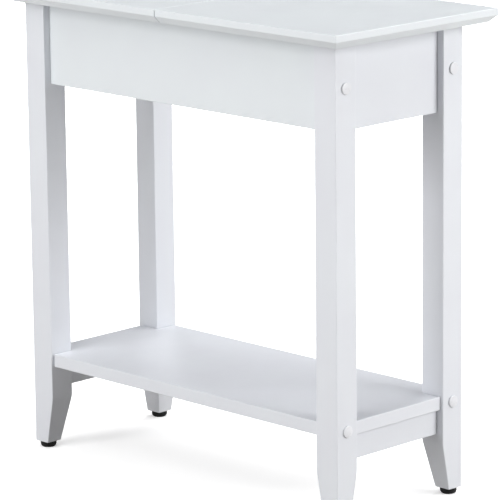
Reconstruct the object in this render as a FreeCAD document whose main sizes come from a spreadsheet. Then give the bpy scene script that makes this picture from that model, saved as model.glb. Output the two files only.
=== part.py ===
"""Narrow end table with a lift-up lid over a storage compartment.

The origin lies on the floor under the middle of the table. +X runs along the long side
towards the lid, -Y is the front and +Z is up. All sizes are in millimetres.

The end frames (two legs, an end apron and a stretcher) are dowelled and glued. The long
aprons and the shelf are bolted between them. The lid turns about the upper edge of the
seam on two concealed hinges, and a slotted quadrant stay stops it when it stands open.
"""

import FreeCAD
import Part
import Sketcher
import math
import os

Vector = FreeCAD.Vector
Constraint = Sketcher.Constraint

# Driving dimensions. Each one is a cell of the sheet "dims" with the same alias.
DIMENSIONS = {
    # Top: two equal halves, bevelled underneath along their outer edges
    "top_length": 610,
    "top_depth": 286,
    "table_height": 610,
    "top_thickness": 17.5,
    "edge_band": 8.5,
    "top_round": 0.8,
    "seam_gap": 1,
    "seam_round": 0.35,
    "top_overhang": 31,
    # Legs: square, with the two inner faces tapered towards the foot
    "leg_size": 35,
    "foot_size": 23.5,
    "taper_start": 72.5,
    "taper_radius": 45,
    "leg_round": 1.2,
    "foot_round": 0.6,
    # Rails and panels of the frame
    "apron_height": 107.5,
    "rail_thickness": 15,
    "board_round": 1,
    "stretcher_height": 32,
    "shelf_top": 129.5,
    "shelf_thickness": 17,
    "shelf_setback": 4,
    "shelf_clearance": 0.5,
    "seam_rail_width": 60,
    "seam_rail_ledge": 10,
    "seam_rail_thickness": 18,
    "bottom_thickness": 5,
    "bottom_round": 0.3,
    "bottom_height": 8,
    "groove_depth": 6,
    "groove_play": 0.1,
    # Connector bolts, barrel nuts and their caps
    "bolt_shank": 6,
    "bolt_bore": 6.5,
    "bolt_head": 12,
    "bolt_head_height": 4,
    "bolt_head_bore": 12.5,
    "bolt_length": 72,
    "bolt_tip": 1,
    "bolt_bore_spare": 3,
    "bolt_socket": 4,
    "bolt_socket_depth": 2.5,
    "nut_diameter": 10,
    "nut_length": 12.5,
    "nut_inset": 30,
    "nut_bore_spare": 0.25,
    "nut_slot": 1.2,
    "cap_diameter": 15,
    "cap_rise": 3,
    "cap_rim": 0.6,
    "cap_stem": 3.8,
    "cap_stem_length": 2.3,
    # Dowels
    "dowel": 8,
    "dowel_length": 30,
    "dowel_spread": 36,
    "end_dowel_spread": 24,
    "small_dowel": 6,
    "small_dowel_length": 26,
    "small_dowel_spread": 8,
    "rail_dowel_length": 20,
    "rail_dowel_sink": 8,
    "rail_dowel_spread": 16,
    "dowel_chamfer": 0.8,
    # Fixings of the fixed top
    "bracket_size": 20,
    "bracket_width": 16,
    "bracket_thickness": 2,
    "bracket_hole": 4,
    "bracket_reach": 12,
    "bracket_along": 170,
    "bracket_across": 40,
    "pan_head": 7.5,
    "pan_head_height": 2.4,
    "pan_shank": 3.5,
    "pan_length": 11,
    "wood_screw_head": 8,
    "wood_screw_shank": 4,
    "wood_screw_length": 30,
    "rail_screw_along": 34,
    "rail_screw_across": 60,
    # Concealed hinges
    "hinge_across": 90,
    "hinge_plate_length": 56,
    "hinge_plate_height": 13,
    "hinge_plate_thickness": 2,
    "hinge_box_length": 34,
    "hinge_box_depth": 12.5,
    "link_inner": 9,
    "link_outer": 13.5,
    "link_half_angle": 66,
    "link_thickness": 4,
    "link_pitch": 9,
    "link_play": 0.05,
    "link_end_play": 2,
    "groove_overrun": 5,
    "link_pin": 3.5,
    "pin_clearance": 0.25,
    "hinge_screw_across": 22,
    "hinge_screw_head": 5.6,
    "hinge_screw_shank": 3,
    "hinge_screw_length": 14,
    # Quadrant stay
    "stay_radius": 90,
    "stay_width": 14,
    "stay_thickness": 2.5,
    "stay_foot": 26,
    "stay_hole": 4.2,
    "stay_hole_pitch": 10.4,
    "stay_stud_angle": 20,
    "stay_open_angle": 95,
    "stay_slack": 0.1,
    "stud_shoulder": 6,
    "stud_play": 0.05,
    "stud_head": 10,
    "stud_head_height": 2,
    "stud_thread": 4,
    "stud_thread_length": 11,
    "washer_diameter": 12,
    "washer_thickness": 1,
    "stay_side_play": 0.1,
    # Lid bumpers, glides and their nails
    "bumper": 8,
    "bumper_depth": 6,
    "bumper_along": 180,
    "bumper_across": 45,
    "glide_diameter": 21,
    "glide_foot": 16,
    "glide_height": 8,
    "glide_band": 3.5,
    "glide_recess": 8.5,
    "glide_recess_depth": 3,
    "nail_head": 7,
    "nail_head_height": 1.2,
    "nail_shank": 2.6,
    "nail_length": 18,
}

# Levels and positions worked out from the sheet, as expressions
FRAME_TOP = "(dims.table_height - dims.top_thickness)"
APRON_BOTTOM = f"({FRAME_TOP} - dims.apron_height)"
APRON_MIDDLE = f"({FRAME_TOP} - dims.apron_height / 2)"
SHELF_BOTTOM = "(dims.shelf_top - dims.shelf_thickness)"
SHELF_MIDDLE = "(dims.shelf_top - dims.shelf_thickness / 2)"
STRETCHER_MIDDLE = f"({SHELF_BOTTOM} - dims.stretcher_height / 2)"
LEG_OUTER_X = "(dims.top_length / 2 - dims.top_overhang)"
LEG_OUTER_Y = "(dims.top_depth / 2 - dims.top_overhang)"
LEG_MIDDLE = "(dims.leg_size / 2)"
LEG_INNER_X = f"({LEG_OUTER_X} - dims.leg_size)"
LEG_INNER_Y = f"({LEG_OUTER_Y} - dims.leg_size)"
LEG_CENTRE_X = f"({LEG_OUTER_X} - {LEG_MIDDLE})"
LEG_CENTRE_Y = f"({LEG_OUTER_Y} - {LEG_MIDDLE})"
RAIL_OUTER_X = f"({LEG_CENTRE_X} + dims.rail_thickness / 2)"
RAIL_OUTER_Y = f"({LEG_CENTRE_Y} + dims.rail_thickness / 2)"
RAIL_INNER_X = f"({LEG_CENTRE_X} - dims.rail_thickness / 2)"
RAIL_INNER_Y = f"({LEG_CENTRE_Y} - dims.rail_thickness / 2)"
FOOT_CENTRE_X = f"({LEG_OUTER_X} - dims.foot_size / 2)"
FOOT_CENTRE_Y = f"({LEG_OUTER_Y} - dims.foot_size / 2)"
BOARD_MIDDLE = "(dims.top_thickness / 2)"
SEAM_HALF = "(dims.seam_gap / 2)"
SEAM_RAIL_X = "(dims.seam_rail_ledge - dims.seam_rail_width / 2)"
LINK_MIDDLE = "((dims.link_inner + dims.link_outer) / 2)"
STUD_X = "(dims.stay_radius * cos(dims.stay_stud_angle))"
STUD_DROP = "(dims.stay_radius * sin(dims.stay_stud_angle))"
BOLT_BORE_DEPTH = "(dims.bolt_length - dims.leg_size + dims.bolt_bore_spare)"
BRACKET_SCREW_LEVEL = "(dims.apron_height - dims.bracket_reach)"
PAN_SCREW_DEPTH = "(dims.pan_length - dims.bracket_thickness)"
STAY_HOLES = ("dims.stay_hole_pitch", "(2 * dims.stay_hole_pitch)")
STAY_INNER_FACE = f"({RAIL_INNER_Y} - dims.washer_thickness - dims.stay_side_play)"

# Direction of each table corner, as signs of X and Y, with the turn about Z of its leg
CORNERS = {
    "front_left": (-1, -1, 0),
    "front_right": (1, -1, 90),
    "back_right": (1, 1, 180),
    "back_left": (-1, 1, 270),
}

# Origin plane of a body for sketches square to an axis, and which way its normal points
PLANES = {"x": ("YZ_Plane", 1), "y": ("XZ_Plane", -1), "z": ("XY_Plane", 1)}
THROUGH_ALL = 1
# How close two coordinates lie that count as the same when an edge is picked
NEAR = 0.01

doc = FreeCAD.newDocument("lift_top_end_table")
sheet = doc.addObject("Spreadsheet::Sheet", "dims")
for row, (alias, size) in enumerate(DIMENSIONS.items(), 1):
    sheet.set(f"A{row}", str(size))
    sheet.setAlias(f"A{row}", alias)
doc.recompute()

nodes = []


def value(text):
    """Present value of an expression on the sheet."""
    return float(sheet.evalExpression(text))


# ---------------------------------------------------------------- sketches and features


def new_body(label, listed=True):
    """An empty body; a listed one is a node of the table."""
    body = doc.addObject("PartDesign::Body", label)
    body.Label = label
    if listed:
        nodes.append(body)
    return body


def new_sketch(body, name, axis, at="0"):
    """A sketch square to an axis of the body, at a coordinate along that axis."""
    role, normal = PLANES[axis]
    sketch = body.newObject("Sketcher::SketchObject", f"{body.Name}_{name}")
    plane = next(item for item in body.Origin.OriginFeatures if item.Role == role)
    sketch.AttachmentSupport = [(plane, "")]
    sketch.MapMode = "FlatFace"
    sketch.setExpression("AttachmentOffset.Base.z", f"{normal} * ({at})")
    return sketch


def dimension(sketch, kind, references, text):
    """Add a dimension to a sketch and bind it to an expression."""
    number = sketch.addConstraint(Constraint(kind, *references, value(text)))
    sketch.setExpression(f"Constraints[{number}]", text)


def place_point(sketch, geometry, point, x, y):
    """Hold a point of the sketch at expressions x and y from the sketch's origin."""
    dimension(sketch, "DistanceX", (-1, 1, geometry, point), x)
    dimension(sketch, "DistanceY", (-1, 1, geometry, point), y)


def circles(sketch, diameter, centres):
    """Circles of one diameter at the given pairs of expressions."""
    radius = value(diameter) / 2
    for x, y in centres:
        centre = Vector(value(x), value(y), 0)
        number = sketch.addGeometry(Part.Circle(centre, Vector(0, 0, 1), radius))
        place_point(sketch, number, 3, x, y)
        dimension(sketch, "Diameter", (number,), diameter)


def arc_geometry(start, end, centre, clockwise):
    """An arc between two points; a sketch arc always runs anticlockwise."""
    first, last = (end, start) if clockwise else (start, end)
    angles = [math.atan2(point.y - centre.y, point.x - centre.x) for point in (first, last)]
    circle = Part.Circle(centre, Vector(0, 0, 1), (start - centre).Length)
    return Part.ArcOfCircle(circle, *angles)


def outline(sketch, points):
    """A closed outline through points of expressions.

    A point is (x, y) where a straight line leads to it, or (x, y, centre x, centre y,
    clockwise) where an arc does. The first point closes the outline.
    """
    corners = [Vector(value(point[0]), value(point[1]), 0) for point in points]
    ends = []
    for i, point in enumerate(points):
        start, end = corners[i - 1], corners[i]
        if len(point) == 2:
            number = sketch.addGeometry(Part.LineSegment(start, end))
            ends.append((number, 1, 2))
            continue
        centre = Vector(value(point[2]), value(point[3]), 0)
        number = sketch.addGeometry(arc_geometry(start, end, centre, point[4]))
        ends.append((number, 2, 1) if point[4] else (number, 1, 2))
    for i, point in enumerate(points):
        number, start_point, end_point = ends[i]
        before, before_start, before_end = ends[i - 1]
        sketch.addConstraint(Constraint("Coincident", before, before_end, number, start_point))
        place_point(sketch, number, end_point, point[0], point[1])
        if len(point) == 5:
            chord = corners[i] - corners[i - 1]
            level = abs(chord.x) > abs(chord.y)
            kind, text = ("DistanceY", point[3]) if level else ("DistanceX", point[2])
            dimension(sketch, kind, (-1, 1, number, 3), text)


def rectangle(sketch, left, bottom, right, top):
    """A rectangle between two corners given as expressions."""
    outline(sketch, [(left, bottom), (right, bottom), (right, top), (left, top)])


def box_outline(sketch, length, height, y="0"):
    """A rectangle of a length centred on the sketch's upright axis, standing on y."""
    rectangle(sketch, f"-({length}) / 2", y, f"({length}) / 2", f"({y}) + ({height})")


def extrude(kind, name, sketch, length, towards):
    """A pad or pocket of the sketch; towards is the sign along the axis, 0 both ways."""
    body = sketch.getParentGeoFeatureGroup()
    role = sketch.AttachmentSupport[0][0].Role
    normal = -1 if role == PLANES["y"][0] else 1
    feature = body.newObject(f"PartDesign::{kind}", f"{body.Name}_{name}")
    feature.Profile = sketch
    if length is None:
        feature.Type = THROUGH_ALL
    else:
        feature.setExpression("Length", length)
    natural = normal if kind == "Pad" else -normal
    feature.Reversed = towards == -natural
    feature.Midplane = towards == 0
    return feature


def pad(name, sketch, length, towards=1):
    """Grow the body by a sketch."""
    return extrude("Pad", name, sketch, length, towards)


def pocket(name, sketch, length, towards):
    """Cut a sketch out of the body, through everything where no length is given."""
    return extrude("Pocket", name, sketch, length, towards)


def bore(body, name, axis, at, towards, diameter, depth, centres):
    """Round holes from a plane square to an axis; the centres are in that plane."""
    sketch = new_sketch(body, f"{name}_sketch", axis, at)
    circles(sketch, diameter, centres)
    return pocket(name, sketch, depth, towards)


def turned(body, profile):
    """A body turned about its own upright axis from an outline of (radius, height)."""
    sketch = new_sketch(body, "profile", "y")
    outline(sketch, profile)
    feature = body.newObject("PartDesign::Revolution", f"{body.Name}_turned")
    feature.Profile = sketch
    feature.ReferenceAxis = (sketch, ["V_Axis"])
    feature.Angle = 360
    return feature


def mirror(body, role, features):
    """Repeat features on the other side of an origin plane of the body."""
    feature = body.newObject("PartDesign::Mirrored", f"{body.Name}_mirrored_{len(body.Group)}")
    plane = next(item for item in body.Origin.OriginFeatures if item.Role == role)
    feature.Originals = features
    feature.MirrorPlane = (plane, [""])
    body.Tip = feature
    return feature


def row_of(body, role, features, length, count):
    """Repeat features along an origin axis of the body."""
    feature = body.newObject("PartDesign::LinearPattern", f"{body.Name}_row_{len(body.Group)}")
    axis = next(item for item in body.Origin.OriginFeatures if item.Role == role)
    feature.Originals = features
    feature.Direction = (axis, [""])
    feature.setExpression("Length", length)
    feature.Occurrences = count
    body.Tip = feature
    return feature


def dress(kind, body, size, wanted):
    """Fillet or chamfer the edges of the body's last feature that wanted() picks."""
    doc.recompute()
    base = body.Tip
    names = [f"Edge{i}" for i, edge in enumerate(base.Shape.Edges, 1) if wanted(edge)]
    feature = body.newObject(f"PartDesign::{kind}", f"{body.Name}_{kind.lower()}_{len(body.Group)}")
    feature.Base = (base, names)
    feature.setExpression("Radius" if kind == "Fillet" else "Size", size)
    return feature


def any_edge(edge):
    """Picks every edge."""
    return True


def level_edge(edge):
    """Picks the edges that lie flat."""
    return edge.BoundBox.ZLength < NEAR


def spans(edge):
    """Middle of an edge's box and its extents."""
    box = edge.BoundBox
    return box.Center, Vector(box.XLength, box.YLength, box.ZLength)


# ---------------------------------------------------------------- placing


def put(item, x="0", y="0", z="0", rotation=None):
    """Place an object at expressions x, y and z."""
    item.Placement = FreeCAD.Placement(Vector(), rotation or FreeCAD.Rotation())
    for axis, text in zip("xyz", (x, y, z)):
        item.setExpression(f"Placement.Base.{axis}", text)


def turn_z(angle):
    """A rotation about the vertical, in degrees."""
    return FreeCAD.Rotation(Vector(0, 0, 1), angle)


def aim(x, y, z):
    """The rotation that points a piece's own -Z, the way it goes in, along a direction."""
    return FreeCAD.Rotation(Vector(0, 0, -1), Vector(x, y, z))


def group(label, piece, places):
    """One node with a separate solid of a piece at each (x, y, z, rotation)."""
    links = []
    for number, (x, y, z, rotation) in enumerate(places, 1):
        link = doc.addObject("App::Link", f"{label}_{number}")
        link.LinkedObject = piece
        put(link, x, y, z, rotation)
        links.append(link)
    node = doc.addObject("Part::Compound", label)
    node.Label = label
    node.Links = links
    nodes.append(node)


def signed(sign, text):
    """An expression with a sign in front."""
    return f"{sign} * {text}"


# ---------------------------------------------------------------- legs and rails


def taper_points(far):
    """The tapered side of a leg, from its full width down to the foot.

    An arc of taper_radius starts upright at taper_start and runs on into a straight line
    to the edge of the foot. The outline comes in from the expression far.
    """
    drop = "(dims.taper_start - dims.glide_height)"
    run = "(dims.taper_radius - (dims.leg_size - dims.foot_size))"
    swing = f"(atan({drop} / {run}) - acos(dims.taper_radius / sqrt({run}^2 + {drop}^2)))"
    centre = "(dims.leg_size - dims.taper_radius)"
    end_x = f"{centre} + dims.taper_radius * cos({swing})"
    end_z = f"dims.taper_start - dims.taper_radius * sin({swing})"
    points = [
        ("dims.leg_size", "dims.taper_start"),
        (end_x, end_z, centre, "dims.taper_start", True),
        ("dims.foot_size", "dims.glide_height"),
    ]
    return points if far == "dims.leg_size" else [(far, "dims.taper_start")] + points


def make_leg(corner):
    """A leg with its outer corner at its own origin, reaching to +X and +Y.

    The bolts run along the table's X axis: on two opposite corners that is the leg's own
    X axis, on the other two its own Y axis.
    """
    sign_x, sign_y, turn = CORNERS[corner]
    bolt_axis, glue_axis = ("x", "y") if turn in (0, 180) else ("y", "x")
    body = new_body(f"leg_{corner}")

    profile = new_sketch(body, "profile", "y")
    upright = [("0", "dims.glide_height"), ("0", FRAME_TOP), ("dims.leg_size", FRAME_TOP)]
    outline(profile, upright + taper_points("dims.leg_size"))
    pad("stem", profile, "dims.leg_size")
    waste = new_sketch(body, "waste", "x")
    outside = "(2 * dims.leg_size)"
    outline(waste, taper_points(outside) + [(outside, "dims.glide_height")])
    pocket("taper", waste, None, 1)

    foot_level = value("dims.glide_height")

    def rising(edge):
        return spans(edge)[1].z > NEAR

    def at_foot(edge):
        middle, extent = spans(edge)
        return extent.z < NEAR and abs(middle.z - foot_level) < NEAR

    dress("Fillet", body, "dims.leg_round", rising)
    dress("Fillet", body, "dims.foot_round", at_foot)

    bolts = [(LEG_MIDDLE, APRON_MIDDLE), (LEG_MIDDLE, SHELF_MIDDLE)]
    bore(body, "bolt_bores", bolt_axis, "0", 1, "dims.bolt_bore", None, bolts)
    bore(body, "head_bores", bolt_axis, "0", 1, "dims.bolt_head_bore", "dims.bolt_head_height", bolts)
    half_dowel = "dims.dowel_length / 2"
    for axis, spread in ((bolt_axis, "dims.dowel_spread"), (glue_axis, "dims.end_dowel_spread")):
        centres = [(LEG_MIDDLE, f"{APRON_MIDDLE} + {sign} * {spread}") for sign in (-1, 1)]
        bore(body, f"dowels_{axis}", axis, "dims.leg_size", -1, "dims.dowel", half_dowel, centres)
    centres = [(LEG_MIDDLE, f"{STRETCHER_MIDDLE} + {sign} * dims.small_dowel_spread") for sign in (-1, 1)]
    half_dowel = "dims.small_dowel_length / 2"
    bore(body, "stretcher_dowels", glue_axis, "dims.leg_size", -1, "dims.small_dowel", half_dowel, centres)
    foot = ("dims.foot_size / 2", "dims.foot_size / 2")
    nail_depth = "dims.nail_length - (dims.glide_height - dims.glide_recess_depth)"
    bore(body, "nail_bore", "z", "dims.glide_height", 1, "dims.nail_shank", nail_depth, [foot])
    put(body, signed(sign_x, LEG_OUTER_X), signed(sign_y, LEG_OUTER_Y), "0", turn_z(turn))


def make_rail(label, length, height, dowels):
    """A rail along its own X axis: outer face at y = 0, inner face at +Y, bottom at z = 0.

    dowels is the diameter, length and spread of the two dowels in each end.
    """
    body = new_body(label)
    profile = new_sketch(body, "profile", "y")
    box_outline(profile, length, height)
    pad("board", profile, "dims.rail_thickness")
    dress("Fillet", body, "dims.board_round", any_edge)
    diameter, dowel_length, spread = dowels
    centres = [("dims.rail_thickness / 2", f"{height} / 2 + {sign} * {spread}") for sign in (-1, 1)]
    holes = bore(body, "dowels", "x", f"{length} / 2", -1, diameter, f"{dowel_length} / 2", centres)
    mirror(body, "YZ_Plane", [holes])
    return body


def nut_bore_depth(thickness):
    """Depth of the hole for a barrel nut that sits in the middle of a board."""
    return f"(({thickness} + dims.nut_length) / 2 + dims.nut_bore_spare)"


def cut_groove(body, length):
    """The groove of the bottom panel along the inner face of an apron."""
    sketch = new_sketch(body, "groove_sketch", "y", "dims.rail_thickness")
    box_outline(sketch, length, "dims.bottom_thickness + dims.groove_play", "dims.bottom_height")
    pocket("groove", sketch, "dims.groove_depth", -1)


def make_long_apron(label, side):
    """A bolted apron; side is the sign of its Y. Its own X is turned round at the back."""
    length = f"(2 * {LEG_INNER_X})"
    end, inner_face = f"{length} / 2", "dims.rail_thickness"
    dowels = ("dims.dowel", "dims.dowel_length", "dims.dowel_spread")
    body = make_rail(label, length, "dims.apron_height", dowels)
    hand = -side
    middle = "dims.apron_height / 2"
    shank_centre = [(f"{inner_face} / 2", middle)]
    shank = bore(body, "bolt_bore", "x", end, -1, "dims.bolt_bore", BOLT_BORE_DEPTH, shank_centre)
    nut_centre = [(f"{end} - dims.nut_inset", middle)]
    nut_depth = nut_bore_depth(inner_face)
    nut = bore(body, "nut_bore", "y", inner_face, -1, "dims.nut_diameter", nut_depth, nut_centre)
    mirror(body, "YZ_Plane", [shank, nut])
    cut_groove(body, length)
    rail_dowels = [
        (
            f"{hand} * ({SEAM_RAIL_X} + {sign} * dims.rail_dowel_spread)",
            "dims.apron_height - dims.seam_rail_thickness / 2",
        )
        for sign in (-1, 1)
    ]
    bore(body, "rail_dowels", "y", inner_face, -1, "dims.dowel", "dims.rail_dowel_sink", rail_dowels)
    bumper = [(f"{hand} * dims.bumper_along", "dims.rail_thickness / 2")]
    bore(body, "bumper_bore", "z", "dims.apron_height", -1, "dims.bumper", "dims.bumper_depth", bumper)
    bracket = [(f"-{hand} * dims.bracket_along", BRACKET_SCREW_LEVEL)]
    bore(body, "bracket_pilot", "y", inner_face, -1, "dims.pan_shank", PAN_SCREW_DEPTH, bracket)
    if side > 0:
        stud = [(f"{hand} * {STUD_X}", f"dims.apron_height + dims.top_thickness - {STUD_DROP}")]
        bore(body, "stud_bore", "y", inner_face, -1, "dims.stud_thread", "dims.stud_thread_length", stud)
    put(body, "0", signed(side, RAIL_OUTER_Y), APRON_BOTTOM, turn_z(0 if side < 0 else 180))


def make_end_apron(label, side):
    """A glued apron of an end frame; side is the sign of its X."""
    length = f"(2 * {LEG_INNER_Y})"
    dowels = ("dims.dowel", "dims.dowel_length", "dims.end_dowel_spread")
    body = make_rail(label, length, "dims.apron_height", dowels)
    cut_groove(body, length)
    if side > 0:
        bumpers = [(f"{sign} * dims.bumper_across", "dims.rail_thickness / 2") for sign in (-1, 1)]
        top, depth = "dims.apron_height", "dims.bumper_depth"
        bore(body, "bumper_bores", "z", top, -1, "dims.bumper", depth, bumpers)
    else:
        brackets = [(f"{sign} * dims.bracket_across", BRACKET_SCREW_LEVEL) for sign in (-1, 1)]
        inner_face = "dims.rail_thickness"
        bore(body, "bracket_pilots", "y", inner_face, -1, "dims.pan_shank", PAN_SCREW_DEPTH, brackets)
    put(body, signed(side, RAIL_OUTER_X), "0", APRON_BOTTOM, turn_z(90 * side))


def make_stretcher(label, side):
    """The end rail under the shelf; side is the sign of its X."""
    dowels = ("dims.small_dowel", "dims.small_dowel_length", "dims.small_dowel_spread")
    body = make_rail(label, f"(2 * {LEG_INNER_Y})", "dims.stretcher_height", dowels)
    bottom = f"{SHELF_BOTTOM} - dims.stretcher_height"
    put(body, signed(side, RAIL_OUTER_X), "0", bottom, turn_z(90 * side))


# ---------------------------------------------------------------- panels


def notched_outline(sketch, half_x, half_y, notch_x, notch_y):
    """A rectangle with a square notch in each corner, as a closed outline."""
    quarter = [(half_x, notch_y), (notch_x, notch_y), (notch_x, half_y)]
    points = []
    for sign_x, sign_y in ((1, 1), (-1, 1), (-1, -1), (1, -1)):
        corner = [(signed(sign_x, x), signed(sign_y, y)) for x, y in quarter]
        points += corner if sign_x == sign_y else reversed(corner)
    outline(sketch, points)


def make_shelf():
    """The lower shelf, notched round the legs and bolted through them."""
    body = new_body("shelf")
    profile = new_sketch(body, "profile", "z")
    notch_x = f"({LEG_INNER_X} - dims.shelf_clearance)"
    notch_y = f"({LEG_INNER_Y} - dims.shelf_clearance)"
    half_x = f"({LEG_OUTER_X} - dims.shelf_setback)"
    half_y = f"({LEG_OUTER_Y} - dims.shelf_setback)"
    notched_outline(profile, half_x, half_y, notch_x, notch_y)
    pad("board", profile, "dims.shelf_thickness")

    corner = Vector(value(half_x), value(half_y))

    def exposed(edge):
        """The level edges and the outer upright ones; a notch keeps its sharp inner corner."""
        middle, extent = spans(edge)
        at_side = abs(abs(middle.x) - corner.x) < NEAR or abs(abs(middle.y) - corner.y) < NEAR
        return extent.z < NEAR or at_side

    dress("Fillet", body, "dims.board_round", exposed)
    across = [f"{sign} * {LEG_CENTRE_Y}" for sign in (-1, 1)]
    shank_centres = [(y, "dims.shelf_thickness / 2") for y in across]
    shanks = bore(body, "bolt_bores", "x", notch_x, -1, "dims.bolt_bore", BOLT_BORE_DEPTH, shank_centres)
    nut_centres = [(f"{LEG_INNER_X} - dims.nut_inset", y) for y in across]
    nut_depth = nut_bore_depth("dims.shelf_thickness")
    nuts = bore(body, "nut_bores", "z", "0", 1, "dims.nut_diameter", nut_depth, nut_centres)
    mirror(body, "YZ_Plane", [shanks, nuts])
    put(body, "0", "0", SHELF_BOTTOM)


def make_compartment_bottom():
    """The thin bottom panel, whose edges sit in the grooves of the four aprons."""
    body = new_body("compartment_bottom")
    profile = new_sketch(body, "profile", "z")
    sink = "(dims.groove_depth - dims.groove_play)"
    notched_outline(
        profile,
        f"({RAIL_INNER_X} + {sink})",
        f"({RAIL_INNER_Y} + {sink})",
        f"({LEG_INNER_X} - dims.shelf_clearance)",
        f"({LEG_INNER_Y} - dims.shelf_clearance)",
    )
    pad("panel", profile, "dims.bottom_thickness")
    dress("Fillet", body, "dims.bottom_round", level_edge)
    put(body, "0", "0", f"{APRON_BOTTOM} + dims.bottom_height")


def make_seam_rail():
    """The cross rail under the seam, with a ledge below the lid's edge."""
    body = new_body("seam_rail")
    length = f"(2 * {RAIL_INNER_Y})"
    profile = new_sketch(body, "profile", "y")
    box_outline(profile, "dims.seam_rail_width", "dims.seam_rail_thickness")
    pad("board", profile, length, 0)

    def along(edge):
        return spans(edge)[1].y > NEAR

    dress("Fillet", body, "dims.board_round", along)
    level = "dims.seam_rail_thickness / 2"
    depth = "dims.rail_dowel_length - dims.rail_dowel_sink"
    centres = [(f"{sign} * dims.rail_dowel_spread", level) for sign in (-1, 1)]
    dowels = bore(body, "dowels", "y", f"{length} / 2", -1, "dims.dowel", depth, centres)
    mirror(body, "XZ_Plane", [dowels])
    screw_x = f"-dims.rail_screw_along - {SEAM_RAIL_X}"
    holes = [(screw_x, f"{sign} * dims.rail_screw_across") for sign in (-1, 0, 1)]
    bore(body, "screw_holes", "z", "0", 1, "dims.wood_screw_shank", None, holes)

    def lower_rim(edge):
        return edge.BoundBox.ZMax < NEAR and edge.Curve.TypeId == "Part::GeomCircle"

    sink = "(dims.wood_screw_head - dims.wood_screw_shank) / 2"
    dress("Chamfer", body, sink, lower_rim)
    put(body, SEAM_RAIL_X, "0", f"{FRAME_TOP} - dims.seam_rail_thickness")


def make_top(label, turn, screw_holes):
    """Half of the top: the seam edge near its own x = 0, the board reaching to +X.

    The underside lies at z = 0. screw_holes are (x, y, diameter, depth) from below.
    """
    body = new_body(label)
    half_depth = "(dims.top_depth / 2)"
    profile = new_sketch(body, "profile", "z")
    rectangle(profile, SEAM_HALF, f"-{half_depth}", "dims.top_length / 2", half_depth)
    pad("board", profile, "dims.top_thickness")

    seam = value(SEAM_HALF)

    def outer(edge):
        return spans(edge)[0].x > seam + NEAR

    def lower_outer(edge):
        return outer(edge) and edge.BoundBox.ZMax < NEAR

    def at_seam(edge):
        return edge.BoundBox.XMax < seam + NEAR

    dress("Chamfer", body, "dims.top_thickness - dims.edge_band", lower_outer)
    dress("Fillet", body, "dims.top_round", outer)
    dress("Fillet", body, "dims.seam_round", at_seam)

    plate = new_sketch(body, "plate_sketch", "x", SEAM_HALF)
    box = new_sketch(body, "box_sketch", "x", SEAM_HALF)
    for sign in (-1, 1):
        stadium(plate, f"{sign} * dims.hinge_across")
        hinge_box(box, f"{sign} * dims.hinge_across")
    pocket("plate_mortises", plate, "dims.hinge_plate_thickness", 1)
    pocket("box_mortises", box, "dims.hinge_plate_thickness + dims.hinge_box_depth", 1)
    pilots = [
        (f"{side} * dims.hinge_across + {end} * dims.hinge_screw_across", BOARD_MIDDLE)
        for side in (-1, 1)
        for end in (-1, 1)
    ]
    pilot_depth = "dims.hinge_screw_length"
    bore(body, "hinge_pilots", "x", SEAM_HALF, 1, "dims.hinge_screw_shank", pilot_depth, pilots)
    for number, (x, y, diameter, depth) in enumerate(screw_holes):
        bore(body, f"pilot_{number}", "z", "0", 1, diameter, depth, [(x, y)])
    put(body, "0", "0", FRAME_TOP, turn_z(turn))


# ---------------------------------------------------------------- hinges


def stadium(sketch, centre):
    """The round-ended outline of a hinge plate, centred in the board's edge."""
    radius = "dims.hinge_plate_height / 2"
    reach = f"(dims.hinge_plate_length / 2 - {radius})"
    left, right = f"({centre} - {reach})", f"({centre} + {reach})"
    low, high = f"({BOARD_MIDDLE} - {radius})", f"({BOARD_MIDDLE} + {radius})"
    first_end = (left, low, left, BOARD_MIDDLE, False)
    last_end = (right, high, right, BOARD_MIDDLE, False)
    outline(sketch, [first_end, (right, low), last_end, (left, high)])


def hinge_box(sketch, centre):
    """The rectangular outline of the hinge's body behind its plate."""
    half, radius = "dims.hinge_box_length / 2", "dims.hinge_plate_height / 2"
    rectangle(
        sketch,
        f"{centre} - {half}",
        f"{BOARD_MIDDLE} - {radius}",
        f"{centre} + {half}",
        f"{BOARD_MIDDLE} + {radius}",
    )


def sector(sketch, inner, outer, start, end):
    """A ring sector about the hinge axis between two angles in degrees."""
    level = "dims.top_thickness"
    a, b, c, d = [
        (f"{radius} * cos({angle})", f"{level} + {radius} * sin({angle})")
        for radius, angle in ((inner, start), (outer, start), (outer, end), (inner, end))
    ]
    outline(sketch, [(*a, "0", level, True), b, (*c, "0", level, False), d])


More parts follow.
